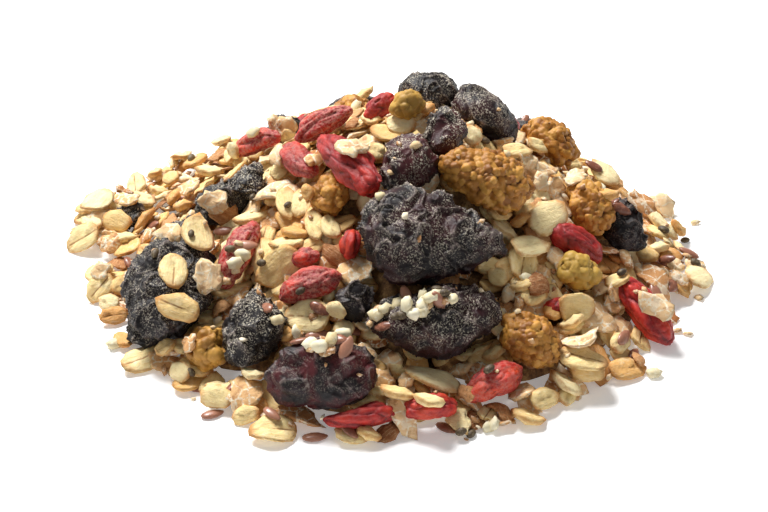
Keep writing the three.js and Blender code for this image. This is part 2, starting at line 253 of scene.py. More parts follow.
# Flesh that dried into broad lobes, with thin ridges of skin winding over them.
def makeRaisin(node, seed):
    mesh = roundedForm(node, raisin["voxel"])
    points, normals = meshArrays(mesh)
    bend = np.stack([noiseAt(points, raisin["bendSize"], seed + k) for k in (0.1, 0.2, 0.3)], axis=1)
    warped = points + raisin["bend"] * bend
    lobes = np.abs(noiseAt(warped, raisin["lobeSize"], seed)) ** 0.6
    worms = thinRidges(warped, raisin["ridgeSize"], seed + 0.5)
    fine = thinRidges(warped, raisin["fineSize"], seed + 0.7)
    kept = ridged.get(node, 1.0)
    lift = raisin["lobeDepth"] * (lobes - 0.5) + kept * raisin["ridgeHeight"] * (worms - 0.2)
    lift += (0.4 + 0.6 * kept) * raisin["fineHeight"] * (fine - 0.2) + raisin["regrow"]
    points = points + normals * lift[:, None]
    ridge = np.clip(0.2 * lobes + 0.7 * worms + 0.35 * fine, 0, 1.2)
    upward = np.clip(0.5 + 0.8 * normals[:, 2], 0, 1)
    dust = dusty.get(node, 0.2) * upward
    red = np.full(len(points), ruddy.get(node, 0.0))
    # The ridges are weighted towards the faces that look up: a painted sheen on their tops.
    writeSurface(mesh, points, {"ridge": ridge * (0.35 + 0.65 * upward), "dust": dust, "red": red})
    return linkMesh(node.replace("_", ""), mesh)


goji = {
    "seed": 41,
    "furrowSize": 2.0,
    "furrowDepth": 0.85,
    "wrinkleSize": 0.85,
    "wrinkleDepth": 0.34,
    "along": 0.28,  # how much slower the furrows change along the berry than round it
    "wrinkleAlong": 0.35,
    "regrow": 0.2,
    "voxel": 0.23,
}
dustyGoji = {"goji_02": 0.8, "goji_03": 0.7, "goji_06": 0.9, "goji_07": 0.7, "goji_05": 0.2, "goji_04": 0.5,
             "goji_14": 0.6, "goji_11": 0.4}


def makeGoji(node, seed):
    mesh = roundedForm(node, goji["voxel"])
    points, normals = meshArrays(mesh)
    centred, axes = longAxes(points)
    local = centred @ axes
    stretched = local * np.array([goji["along"], 1.0, 1.0])
    folds = np.abs(noiseAt(stretched, goji["furrowSize"], seed)) ** 0.6
    finer = local * np.array([goji["wrinkleAlong"], 1, 1])
    wrinkles = np.abs(noiseAt(finer, goji["wrinkleSize"], seed + 0.5)) ** 0.6
    lift = goji["furrowDepth"] * (folds - 0.55) + goji["wrinkleDepth"] * (wrinkles - 0.5) + goji["regrow"]
    points = points + normals * lift[:, None]
    ridge = np.clip(0.7 * folds + 0.4 * wrinkles, 0, 1.2)
    dust = np.full(len(points), dustyGoji.get(node, 0.1))
    tone = np.full(len(points), (seed * 0.37) % 1)
    writeSurface(mesh, points, {"ridge": ridge, "dust": dust, "tone": tone})
    return linkMesh(node.replace("_", ""), mesh)


mulberry = {
    "seed": 71,
    "drupelet": 1.05,  # millimetres between neighbouring drupelets
    "bulge": 0.6,
    "clumpSize": 2.6,
    "clumpDepth": 1.15,
    "wrinkleSize": 0.5,
    "wrinkleDepth": 0.12,
    "voxel": 0.2,
}
paleBerry = {"mulberry_04": 0.75, "mulberry_08": 0.5, "mulberry_06": 0.2}
coarse = {"mulberry_04": 2.2, "mulberry_08": 1.6, "mulberry_06": 1.6}  # times the usual drupelet


def spreadSeeds(points, gap, seed):
    rng = np.random.default_rng(seed)
    chosen = []
    for index in rng.permutation(len(points)):
        place = points[index]
        if all(np.sum((place - other) ** 2) > gap * gap for other in chosen):
            chosen.append(place)
    return chosen


# Round drupelets crowded over the whole berry, sharp furrows between them.
def makeMulberry(node, seed):
    mesh = roundedForm(node, mulberry["voxel"])
    points, normals = meshArrays(mesh)
    big = coarse.get(node, 1.0)
    gap = mulberry["drupelet"] * big
    centres = spreadSeeds(points, gap, seed)
    tree = kdtree.KDTree(len(centres))
    for i, centre in enumerate(centres):
        tree.insert(Vector(centre), i)
    tree.balance()
    nearest = [tree.find(Vector(p)) for p in points]
    away = np.array([hit[2] for hit in nearest]) / gap
    own = np.array([hit[1] for hit in nearest])
    dome = np.sqrt(np.clip(1 - (away / 0.86) ** 2, 0, 1))
    rng = np.random.default_rng(seed + 9)
    height = rng.uniform(0.35, 1.25, len(centres))[own]
    fine = noiseAt(points, mulberry["wrinkleSize"], seed)
    clumps = np.abs(noiseAt(points, mulberry["clumpSize"] * math.sqrt(big), seed + 0.4)) ** 0.7
    bulge = mulberry["bulge"] * big ** 0.7
    lift = bulge * (dome * height - 0.3) + mulberry["wrinkleDepth"] * fine
    lift += mulberry["clumpDepth"] * (clumps - 0.35)
    points = points + normals * lift[:, None]
    tone = rng.uniform(0, 1, len(centres))[own]
    pale = np.full(len(points), paleBerry.get(node, 0.0))
    ridge = np.clip(0.55 * dome + 1.1 * clumps, 0, 1.2)
    writeSurface(mesh, points, {"ridge": ridge, "tone": tone, "pale": pale})
    return linkMesh(node.replace("_", ""), mesh)


# Raisin skin: thin, nearly black and waxy, dark red where light gets through. A grey bloom lies along the
# ridges, brightest as a painted sheen on those that face up, and flour has settled in specks.
def raisinSkin():
    grains = [(5.0, 3.0, 0.55), (0.3, 3.0, 0.65), (2.4, 4.0, 0.6)]
    marks = ("ridge", "dust", "red")
    shading = {"Specular IOR Level": 0.32}
    material, tree, shader, fields = startMaterial("raisinSkin", shading, grains, marks)
    _, patch, speck, cloud, ridge, dust, red = fields
    # Grey on the ridges: partly the real bloom, partly a painted sheen where they face up.
    bloomAndSheen = maskOf(tree, (ridge, 0.4, 0.85, 0.75), (cloud, 0.3, 0.55))
    flour = maskOf(tree, (speck, 0.51, 0.61), (cloud, 0.38, 0.58), dust)
    colour = layerColours(tree, toLinear("#140D10"), [
        ((cloud, 0.45, 0.65, 0.6), "#35262A"),
        (red, (patch, 0.4, 0.62), "#4C181C"),
        (bloomAndSheen, "#857872"),
        (flour, "#D2C9B4"),
    ])
    rough = addNode(tree, "Math", {"operation": "MULTIPLY_ADD"}, {0: flour, 1: 0.4, 2: 0.5})
    rough = addNode(tree, "Math", {"operation": "MULTIPLY_ADD"}, {0: bloomAndSheen, 1: 0.3, 2: rough})
    dress(tree, shader, colour, [speck], 0.45, 0.2, rough)
    return material


# Goji skin: leathery, bright red and a little translucent, duller where flour clings to it.
def gojiSkin():
    shading = {
        "Specular IOR Level": 0.4, "Subsurface Weight": 0.12, "Subsurface Scale": 1.2 * mm,
        "Subsurface Radius": (1.0, 0.25, 0.15),
    }
    grains = [(3.5, 3.0, 0.55), (0.6, 5.0, 0.7)]
    material, tree, shader, fields = startMaterial("gojiSkin", shading, grains, ("ridge", "dust", "tone"))
    _, patch, grain, ridge, dust, tone = fields
    flour = maskOf(tree, (grain, 0.4, 0.62), dust)
    # Painted light and shade: a brighter red on the ridges, a dark red in the furrows.
    colour = layerColours(tree, toLinear("#90151A"), [
        ((ridge, 0.3, 0.85), "#CC2B1B"),
        ((patch, 0.45, 0.7), tone, "#DC4A26"),
        ((ridge, 0.28, 0.1, 0.8), "#4E0C12"),
        (flour, "#C98A7C"),
    ])
    rough = addNode(tree, "Math", {"operation": "MULTIPLY_ADD"}, {0: flour, 1: 0.4, 2: 0.44})
    dress(tree, shader, colour, [grain], 0.7, 0.25, rough)
    return material


# Dried mulberry: sugary golden-brown drupelets, with painted shade in the furrows.
def mulberrySkin():
    shading = {
        "Roughness": 0.55, "Specular IOR Level": 0.4, "Subsurface Weight": 0.1,
        "Subsurface Scale": 1.0 * mm, "Subsurface Radius": (1.0, 0.5, 0.2),
    }
    marks = ("ridge", "tone", "pale")
    material, tree, shader, fields = startMaterial("mulberrySkin", shading, [(0.6, 5.0, 0.7)], marks)
    _, grain, ridge, tone, pale = fields
    colour = layerColours(tree, toLinear("#A66E26"), [
        ((tone, 0.5, 1.0, 0.8), "#D09A48"),
        ((tone, 0.4, 0.0, 0.7), "#7A4718"),
        (pale, "#C2A04A"),
        # Painted shade: dark brown in the furrows between the drupelets.
        ((ridge, 0.55, 0.12, 0.9), "#4C290C"),
        ((grain, 0.56, 0.72, 0.5), "#DDBB7E"),
    ])
    dress(tree, shader, colour, [grain], 0.4, 0.15)
    return material


fruitKinds = {
    "raisin": (makeRaisin, raisinSkin, raisin["seed"]),
    "goji": (makeGoji, gojiSkin, goji["seed"]),
    "mulberry": (makeMulberry, mulberrySkin, mulberry["seed"]),
}
fruitPieces = []
for fruit, (make, makeSkin, seed) in fruitKinds.items():
    skin = makeSkin()
    for i, node in enumerate(sorted(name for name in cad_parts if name.startswith(fruit))):
        fruitPieces.append(finishPiece(make(node, seed + i), skin, fruit, node))
print("fruits made:", len(fruitPieces), "pieces,", sum(len(p.data.polygons) for p in fruitPieces), "faces")


# The heap's height is kept on a grid over the table.
cell = 0.4  # millimetres
halfSpan = 68.0
cells = int(2 * halfSpan / cell)


def cellOf(values):
    return np.clip(((values + halfSpan) / cell).astype(int), 0, cells - 1)


def blur(values, weights, sigma):
    reachCells = int(3 * sigma / cell)
    kernel = np.exp(-0.5 * (np.arange(-reachCells, reachCells + 1) * cell / sigma) ** 2)

    def swept(field):
        rows = np.apply_along_axis(np.convolve, 0, field, kernel, mode="same")
        return np.apply_along_axis(np.convolve, 1, rows, kernel, mode="same")

    return swept(values * weights) / np.maximum(swept(weights), 1e-6)


# The CAD heap's top seen from above, and the fruits' tops and undersides.
def readHeights():
    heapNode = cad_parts["flake_heap"]
    tree = BVHTree.FromObject(heapNode, bpy.context.evaluated_depsgraph_get())
    heap = np.zeros((cells, cells))
    down = Vector((0, 0, -1))
    for i in range(cells):
        x = (-halfSpan + (i + 0.5) * cell) * mm
        for j in range(cells):
            y = (-halfSpan + (j + 0.5) * cell) * mm
            hit = tree.ray_cast(Vector((x, y, 0.06)), down)[0]
            heap[i, j] = hit.z / mm if hit else 0.0
    top = np.full((cells, cells), -1.0)
    under = np.full((cells, cells), 99.0)
    for piece in fruitPieces:
        points, _ = meshArrays(piece.data)
        i, j = cellOf(points[:, 0]), cellOf(points[:, 1])
        np.maximum.at(top, (i, j), points[:, 2])
        np.minimum.at(under, (i, j), points[:, 2])
    return heap, top, under


heapTop, fruitTop, fruitUnder = readHeights()
isFruit = fruitTop > 0
outline = blur(heapTop, (~isFruit).astype(float), 2.4) + 0.9
outline[heapTop <= 0.01] = 0.0
print("heights read")

core = {
    "depth": 5.2,  # below the heap's outline
    "turns": 120,
    "rings": 90,
    "grain": 1.5,
    "relief": 0.55,
}


# The core's height on the grid: well under the outline and every fruit, and nothing at the heap's rim.
def coreField():
    beneath = np.where(isFruit, fruitUnder - 0.6, 99.0)
    field = np.maximum(np.minimum(outline - core["depth"], beneath), 0.0)
    return np.where(outline > core["depth"], blur(field, np.ones_like(field), 0.6), 0.0)


bed = coreField()


def coreReach(angle):
    steps = np.arange(5.0, 60.0, 0.4)
    i, j = cellOf(steps * math.cos(angle)), cellOf(steps * math.sin(angle))
    inside = outline[i, j] > core["depth"] + 0.4
    return float(steps[inside].max())


# Where a vertex of a ball lies between its poles: 0 at the upper, 1 round the middle, 2 at the lower.
def polarOf(vert):
    return math.acos(max(-1.0, min(1.0, vert.co.z))) / (math.pi / 2)


# A closed low dome under the flakes, grained like the broken flakes and bran that fill a heap.
def makeCore():
    bm = bmesh.new()
    bmesh.ops.create_uvsphere(bm, u_segments=core["turns"], v_segments=core["rings"], radius=1.0)
    for vert in bm.verts:
        polar = polarOf(vert)
        share = min(polar, 2 - polar)
        angle = math.atan2(vert.co.y, vert.co.x)
        away = coreReach(angle) * share
        x, y = away * math.cos(angle), away * math.sin(angle)
        z = 0.0
        if polar < 0.99:
            i, j = cellOf(np.array(x)), cellOf(np.array(y))
            z = max(0.1, bed[i, j] + core["relief"] * noise.noise(Vector((x, y, 0)) / core["grain"]))
        vert.co = Vector((x, y, z)) * mm
    bmesh.ops.recalc_face_normals(bm, faces=bm.faces)
    mesh = bpy.data.meshes.new("heapCore")
    bm.to_mesh(mesh)
    bm.free()
    mesh.shade_smooth()
    return linkMesh("heapCore", mesh)


# Broken flakes, bran and crumbs deep in the heap, seen only through gaps, darkened as painted shade.
def crumbBed():
    material, tree, shader, (_, grain) = startMaterial("crumbBed", {"Roughness": 0.9}, [(1.6, 4.0, 0.7)])
    # Mostly dark browns as painted shade in the gaps, with paler crumbs among them.
    stops = [(0.3, "#4A2F1A"), (0.5, "#83603A"), (0.62, "#B08A58"), (0.75, "#CDB080")]
    colour = addNode(tree, "ValToRGB", {"stops": stops}, {"Fac": grain}, "Color")
    dress(tree, shader, colour, [grain], 0.8, 0.6)
    return material


finishPiece(makeCore(), crumbBed(), "flakes", "flake_heap")
print("core made")


flakeMesh = {
    "turns": 16,
    "rings": (0.0, 0.45, 0.84, 1.0),  # share of the radius, from the middle to the rim
}

# Length, width and thickness in millimetres; uneven is how far the outline strays from an oval, crease the
# depth of the groove, lips how far the flake swells beside it, crumple how wavy its faces are, cup how far
# its kind is hollow, and warp how much flakes differ in that. Whole and broken are numbers of shapes.
flakeKinds = {
    "oatFlakes": {
        "size": (9.0, 6.6, 1.3), "uneven": 0.075, "crease": 0.42, "lips": 0.28, "crumple": 0.3,
        "warp": 0.02, "cup": 0.012, "whole": 6, "broken": 4,
    },
    "wheatFlakes": {
        "size": (8.2, 6.4, 1.05), "uneven": 0.16, "crease": 0.0, "lips": 0.12, "crumple": 0.75,
        "warp": 0.05, "cup": 0.0, "whole": 6, "broken": 4,
    },
    "branCups": {
        "size": (7.4, 5.6, 0.6), "uneven": 0.13, "crease": 0.0, "lips": 0.05, "crumple": 0.4,
        "warp": 0.03, "cup": -0.1, "whole": 3, "broken": 2,
    },
}


# A lens-shaped oval plate with a thin uneven rim, from a ball pressed flat; a broken one ends in a chord.
def makeFlake(kind, seed, broken, creased):
    form = flakeKinds[kind]
    rng = np.random.default_rng(seed)
    bm = bmesh.new()
    rings = flakeMesh["rings"]
    turns = flakeMesh["turns"]
    bmesh.ops.create_uvsphere(bm, u_segments=turns, v_segments=2 * (len(rings) - 1), radius=1.0)
    length, width, thickness = form["size"]
    wave = rng.uniform(0, 2 * math.pi, 4)
    jitter = rng.uniform(-1, 1, turns)
    jolts = rng.uniform(-1, 1, turns)
    rough = 0.14 * thickness
    crease = form["crease"] * (1.0 if creased else 0.15)
    chord = rng.uniform(0.0, 0.5) if broken else 2.0
    places = []
    own = []
    for vert in bm.verts:
        polar = polarOf(vert)
        side = 1.0 if polar <= 1 else -1.0
        ring = round(min(polar, 2 - polar) * (len(rings) - 1))
        radius = rings[ring]
        angle = math.atan2(vert.co.y, vert.co.x)
        turn = round(angle / (2 * math.pi) * turns) % turns
        stray = 0.6 * math.sin(2 * angle + wave[0]) + 0.5 * math.sin(3 * angle + wave[1])
        stray += 0.4 * math.sin(5 * angle + wave[2]) + 1.1 * jitter[turn] * (radius > 0.9)
        reach = radius * (1 + form["uneven"] * stray * radius)
        u = reach * math.cos(angle)
        v = reach * math.sin(angle)
        if u > chord:
            u = chord + 0.12 * (u - chord) + 0.09 * math.sin(5 * v + wave[3]) + 0.06 * math.sin(13 * v)
        rim = math.sqrt(max(0.0, 1 - radius ** 2))
        z = side * thickness * (0.14 + 0.36 * rim ** 0.8)
        groove = math.exp(-(v / 0.13) ** 2) * (1 - min(1.0, abs(u)) ** 2)
        lips = math.exp(-((abs(v) - 0.36) / 0.2) ** 2) * (1 - min(1.0, abs(u)) ** 2)
        if side > 0:
            z += form["lips"] * lips - crease * groove
        else:
            z -= 0.5 * form["lips"] * lips
        z += 0.1 * math.sin(3 * angle + wave[3]) * radius + rough * side * jolts[turn] * rim
        z += form["crumple"] * noise.noise(Vector((u * 2.1, v * 1.8, seed * 1.7)))
        places.append((u * length / 2, v * width / 2, z))
        own.append((u, v, side * rim))
    faces = [[vert.index for vert in face.verts] for face in bm.faces]
    bm.free()
    shape = {"points": np.array(places), "faces": faces, "local": np.array(own)}
    return {**shape, "crease": float(creased)}


seedKinds = {
    "flaxSeeds": {"size": (4.2, 2.1, 1.0), "taper": 0.35, "lumps": 0.03, "round": 2},
    "hempHearts": {"size": (2.5, 2.0, 1.4), "taper": 0.1, "lumps": 0.24, "round": 2},
    "chiaSeeds": {"size": (2.1, 1.4, 1.2), "taper": 0.1, "lumps": 0.02, "round": 2},
    "crumbs": {"size": (2.2, 1.6, 0.9), "taper": 0.0, "lumps": 0.35, "round": 1},
}


# A seed or a crumb from a ball: narrower to one end and lumpy, as its kind is.
def makeSeed(kind, seed):
    form = seedKinds[kind]
    bm = bmesh.new()
    bmesh.ops.create_icosphere(bm, subdivisions=form["round"], radius=1.0)
    places = []
    own = []
    for vert in bm.verts:
        p = vert.co.copy()
        own.append(tuple(p))
        lump = 1 + form["lumps"] * noise.noise(p * 1.4 + Vector((seed, 0, 0))) * 2
        narrow = 1 - form["taper"] * max(0.0, p.x) ** 1.5
        places.append((
            p.x * lump * form["size"][0] / 2,
            p.y * lump * narrow * form["size"][1] / 2,
            p.z * lump * narrow * form["size"][2] / 2,
        ))
    faces = [[vert.index for vert in face.verts] for face in bm.faces]
    bm.free()
    return {"points": np.array(places), "faces": faces, "local": np.array(own)}


# Adds points over each face, so that a shape covers every grid cell under it.
def coverPoints(shape):
    corners = [shape["points"][face] for face in shape["faces"]]
    steps = (0.17, 0.5, 0.83)
    samples = [shape["points"]]
    for quad in corners:
        a, b, c, d = quad if len(quad) == 4 else (*quad, quad[-1])
        for s in steps:
            for t in steps:
                samples.append(((a * (1 - s) + b * s) * (1 - t) + (d * (1 - s) + c * s) * t)[None])
    return np.concatenate(samples)


shapes = {}
for kind, form in flakeKinds.items():
    variants = range(form["whole"] + form["broken"])
    shapes[kind] = [makeFlake(kind, 100 + k, k >= form["whole"], k % 2 == 0) for k in variants]
for kind in seedKinds:
    shapes[kind] = [makeSeed(kind, 200 + k) for k in range(3)]
for kind in shapes:
    for shape in shapes[kind]:
        shape["cover"] = coverPoints(shape)
        shape["faces"] = [np.array(face) for face in shape["faces"]]
print("loose shapes made")


# A tree that finds where a line meets any of several meshes.
def treeOf(parts):
    points, faces = [], []
    start = 0
    for places, corners in parts:
        points.append(places)
        faces += [[start + corner for corner in face] for face in corners]
        start += len(places)
    return BVHTree.FromPolygons(np.concatenate(points).tolist(), faces)


def facesOf(mesh):
    return [list(face.vertices) for face in mesh.polygons]


surface = bed.copy()  # the top of the flakes that lie under a new piece
kept = isFruit & (fruitTop > outline - 1.0)  # cells that filling flakes leave open
laid = {kind: [] for kind in shapes}

cameraTilt = math.radians(view["elevation"])
viewAhead = np.array([0, math.cos(cameraTilt), -math.sin(cameraTilt)])
viewUp = np.array([0, math.sin(cameraTilt), math.cos(cameraTilt)])
viewRight = np.array([1.0, 0, 0])
cameraPlace = np.array(view["aim"]) - viewAhead * view["distance"]
focal = view["lens"] / view["sensor"] * view["pixelsWide"]


# How a line of sight is followed, in millimetres: from before the aim to beyond it. A line that misses the
# crest by less than miss, or passes over more than high, ends there.
sight = {"before": 110, "beyond": 130, "step": 0.15, "miss": 4.5, "high": 8}


def directionOf(px, py):
    across = (px - view["pixelsWide"] / 2) / focal
    down = (py - view["pixelsHigh"] / 2) / focal
    ray = viewAhead + viewRight * across - viewUp * down
    return ray / np.linalg.norm(ray)


fruitTree = treeOf([(meshArrays(piece.data)[0], facesOf(piece.data)) for piece in fruitPieces])


# Where the line of sight through a pixel first meets a fruit, the flakes or the table: the place, and the
# way the fruit faces there. A line that just misses the crest ends at the crest.
def underPixel(px, py):
    ray = directionOf(px, py)
    place, normal, _, away = fruitTree.ray_cast(Vector(cameraPlace), Vector(ray))
    steps = np.arange(view["distance"] - sight["before"], view["distance"] + sight["beyond"], sight["step"])
    line = cameraPlace + np.outer(steps, ray)
    level = surface[cellOf(line[:, 0]), cellOf(line[:, 1])]
    gap = line[:, 2] - level
    met = np.nonzero(gap <= 0)[0]
    first = met[0] if len(met) else len(line) - 1
    if place and away < steps[first] + 0.5:
        return np.array(place), np.array(normal)
    if level[first] < 0.5:
        passed = np.where(level[:first] > 1, gap[:first], 99)
        crest = np.argmin(passed)
        if passed[crest] < sight["miss"] or level[:first].max() > sight["high"]:
            return np.array([line[crest][0], line[crest][1], level[crest]]), None
    return line[first], None


resting = {
    "pixelsRound": ((-7, 0), (7, 0), (0, -7), (0, 7), (-5, 5), (5, -5)),
    "near": 5,  # millimetres within which those pixels count
    "reach": 3.0,  # millimetres over which the slope is taken
    "tilts": (-10, 0, 10),  # degrees tried to either side of the slope
    "steep": 0.6,  # the least upward part of a flake's normal
    "pressed": 0.12,  # millimetres
    "level": 0.25,
    "sunk": 0.15,  # share of a flake's points that lie within a fruit
}


# The way a fruit faces round a pixel, evened out over the small wrinkles.
def broadNormal(px, py, centre, normal):
    total = np.array(normal)
    for right, down in resting["pixelsRound"]:
        place, other = underPixel(px + right, py + down)
        if other is not None and np.linalg.norm(place - centre) < resting["near"]:
            total = total + other
    return total / np.linalg.norm(total)


# The upward direction of the plane that fits the surface round a place.
def localSlope(x, y, radius):
    i0, j0 = cellOf(np.array(x)), cellOf(np.array(y))
    r = int(radius / cell)
    patch = surface[max(i0 - r, 0):i0 + r + 1, max(j0 - r, 0):j0 + r + 1]
    rows, columns = patch.shape
    u = (np.arange(rows) - (rows - 1) / 2) * cell
    v = (np.arange(columns) - (columns - 1) / 2) * cell
    dx = (u[:, None] * (patch - patch.mean())).sum() / max((u ** 2).sum() * columns, 1e-6)
    dy = (v[None, :] * (patch - patch.mean())).sum() / max((v ** 2).sum() * rows, 1e-6)
    normal = np.array([-dx, -dy, 1.0])
    return normal / np.linalg.norm(normal)


# The turn that puts a shape's Z on the normal and its X along a direction over the plan.
def turnTo(normal, along):
    along = along - normal * (along @ normal)
    along = along / np.linalg.norm(along)
    return np.stack([along, np.cross(normal, along), normal], axis=1)


# A direction leant over by two angles.
def tilted(normal, a, b):
    side = np.cross(normal, [0, 1, 0])
    side = side / np.linalg.norm(side)
    other = np.cross(normal, side)
    bent = normal + math.tan(a) * side + math.tan(b) * other
    return bent / np.linalg.norm(bent)


# Scales a shape and bends it like a dish or a saddle.
def curled(points, scale, curl):
    p = points * scale
    rise = curl[0] * p[:, 0] ** 2 + curl[1] * p[:, 1] ** 2 + curl[2] * p[:, 0] * p[:, 1]
    return p + np.stack([np.zeros(len(p)), np.zeros(len(p)), rise], axis=1)


# A shape in its place: its points, the denser points and the grid cells that those are over.
def placed(shape, scale, curl, turn, place):
    points = curled(shape["points"], scale, curl) @ turn.T + place
    cover = curled(shape["cover"], scale, curl) @ turn.T + place
    return {"points": points, "cover": cover, "cells": (cellOf(cover[:, 0]), cellOf(cover[:, 1]))}


# The lowest rest of a shape at a place, over several tilts of the slope there. Its X runs along a direction
# over the plan, or along the line seen in the picture when that is asked for.
def findRest(shape, x, y, along, scale, curl, lean, seen=False, steep=resting["steep"], most=99):
    points = curled(shape["points"], scale, curl)
    base = localSlope(x, y, resting["reach"])
    best = None
    for a in resting["tilts"]:
        for b in resting["tilts"]:
            normal = tilted(base, math.radians(a + lean[0]), math.radians(b + lean[1]))
            if normal[2] < steep:
                continue
            line = along - viewAhead * (normal @ along) / (normal @ viewAhead) if seen else along
            turn = turnTo(normal, line)
            world = points @ turn.T
            level = surface[cellOf(world[:, 0] + x), cellOf(world[:, 1] + y)]
            height = (level - world[:, 2]).max()
            if best is None or height < best[0]:
                best = (height, turn, world)
    if best is None:
        return None
    height, turn, world = best
    height = max(min(height - resting["pressed"], most), -world[:, 2].min())  # never into the table
    return placed(shape, scale, curl, turn, np.array([x, y, height]))


# Flat on the side of a fruit.
def onFruit(shape, place, normal, along, scale, curl, lean):
    normal = tilted(normal, math.radians(lean[0]), math.radians(lean[1]))
    line = along - viewAhead * (normal @ along) / min(normal @ viewAhead, -resting["level"])
    turn = turnTo(normal, line)
    points = curled(shape["points"], scale, curl) @ turn.T
    lowest = np.quantile(points @ normal, resting["sunk"])
    return placed(shape, scale, curl, turn, place - normal * lowest)


# The lowest point of a thing that stands between flakes, its broad side along the line of sight.
def findSlot(shape, px, py, along, scale, curl, opened, out):
    upright = np.cross(viewAhead, along)
    upright = upright * (1 if upright[2] > 0 else -1)
    normal = math.cos(opened) * upright - math.sin(opened) * viewAhead
    turn = turnTo(normal, along)
    points = curled(shape["points"], scale, curl) @ turn.T
    start, _ = underPixel(px, py)
    ahead = -(points @ viewAhead).min() - out
    place = start + viewAhead * ahead
    place[2] += max(0.0, -(points[:, 2].min() + place[2]))
    return placed(shape, scale, curl, turn, place)


# Adds a piece to those laid and, where it carries others, to the surface.
def lay(kind, shape, rest, tone, carries=True):
    if carries:
        np.maximum.at(surface, rest["cells"], rest["cover"][:, 2])
    laid[kind].append({"points": rest["points"], "shape": shape, "tone": tone})


def plan(angle):
    return np.array([math.cos(angle), math.sin(angle), 0])


def placeOf(i, j):
    return -halfSpan + (i + 0.5) * cell, -halfSpan + (j + 0.5) * cell


# Where the pile is open to the picture: nothing nearer to the camera rises over the line of sight.
def openCells():
    rise = math.tan(cameraTilt) * cell
    height = outline + np.arange(cells)[None, :] * rise
    return height > np.maximum.accumulate(height, axis=1) - filling["hidden"]


filling = {
    "seed": 3,
    "tries": 7000,
    "picks": 12,  # places compared for each flake: the one furthest below the outline gets it
    "mix": {"oatFlakes": 0.58, "wheatFlakes": 0.36, "branCups": 0.06},
    "sizes": (0.6, 1.0),
    "widths": (0.85, 1.05),
    "thicknesses": (0.85, 1.15),
    "turned": 0.35,  # share of the flakes that lie with their crease down
    "hidden": 1.5,  # millimetres by which a cell may lie under the line of sight and count as open
    "firstTries": 1500,
    "firstRise": 1.6,  # millimetres over the core that a first layer fills, and how deep it has to lie
    "firstDepth": 2.5,
    "rimBlur": 2.4,  # millimetres, and the share inside the rim from which flakes are laid
    "rimShare": 0.42,
    "push": 0.8,  # millimetres that a place counts as higher after a flake didn't fit there
    "left": 0.8,  # millimetres left open under the outline for the flakes listed one by one
    "meanOver": 0.35,  # how far a flake may rise over that, on average and at its highest
    "mostOver": 1.7,
    "overFruit": 0.2,
    "loose": 9,  # degrees by which flakes lie off the slope under them
}


# Drops flakes one by one where the pile is furthest below a limit, until it is filled.
def fillUp(limit, where, tries, seed):
    rng = np.random.default_rng(seed)
    names = list(filling["mix"])
    odds = np.array(list(filling["mix"].values()))
    ground = np.argwhere(where)
    refused = np.zeros((cells, cells))
    count = 0
    for _ in range(tries):
        picks = ground[rng.integers(0, len(ground), filling["picks"])]
        rows, columns = picks[:, 0], picks[:, 1]
        gaps = limit[rows, columns] - surface[rows, columns] - refused[rows, columns]
        i, j = picks[np.argmax(gaps)]
        x, y = placeOf(i, j)
        kind = names[rng.choice(len(names), p=odds / odds.sum())]
        size = rng.uniform(*filling["sizes"])
        scale = size * np.array([1, rng.uniform(*filling["widths"]), rng.uniform(*filling["thicknesses"])])
        lean = rng.normal(0, filling["loose"], 2)
        shape = shapes[kind][rng.integers(len(shapes[kind]))]
        scale = scale * turnedOver(rng)
        rest = findRest(shape, x, y, plan(rng.uniform(0, 2 * math.pi)), scale, curlOf(kind, rng), lean)
        tone = rng.random()
        if rest is None:
            continue
        over = rest["cover"][:, 2] - limit[rest["cells"]]
        fits = over.mean() < filling["meanOver"] and over.max() < filling["mostOver"]
        covers = kept[rest["cells"]] & (rest["cover"][:, 2] > fruitTop[rest["cells"]])
        if fits and covers.mean() < filling["overFruit"]:
            lay(kind, shape, rest, tone)
            count += 1
        else:
            refused[max(i - 1, 0):i + 2, max(j - 1, 0):j + 2] += filling["push"]
    return count


def curlOf(kind, rng):
    form = flakeKinds[kind]
    return (form["cup"] + form["warp"] * rng.normal(), form["cup"] + form["warp"] * rng.normal(),
            form["warp"] * rng.normal())


def turnedOver(rng):
    return np.array([1, -1, -1]) if rng.random() < filling["turned"] else np.array([1, 1, 1])


deep = (bed > 1) & (surface < outline - filling["firstDepth"])
count = fillUp(bed + filling["firstRise"], deep, filling["firstTries"], filling["seed"])
print("flakes on the core:", count)
inner = blur((heapTop > 0.01).astype(float), np.ones_like(heapTop), filling["rimBlur"])
inside = (inner > filling["rimShare"]) & ~kept
count = fillUp(outline - filling["left"] * openCells(), inside, filling["tries"], filling["seed"] + 1)
print("flakes filled in:", count)

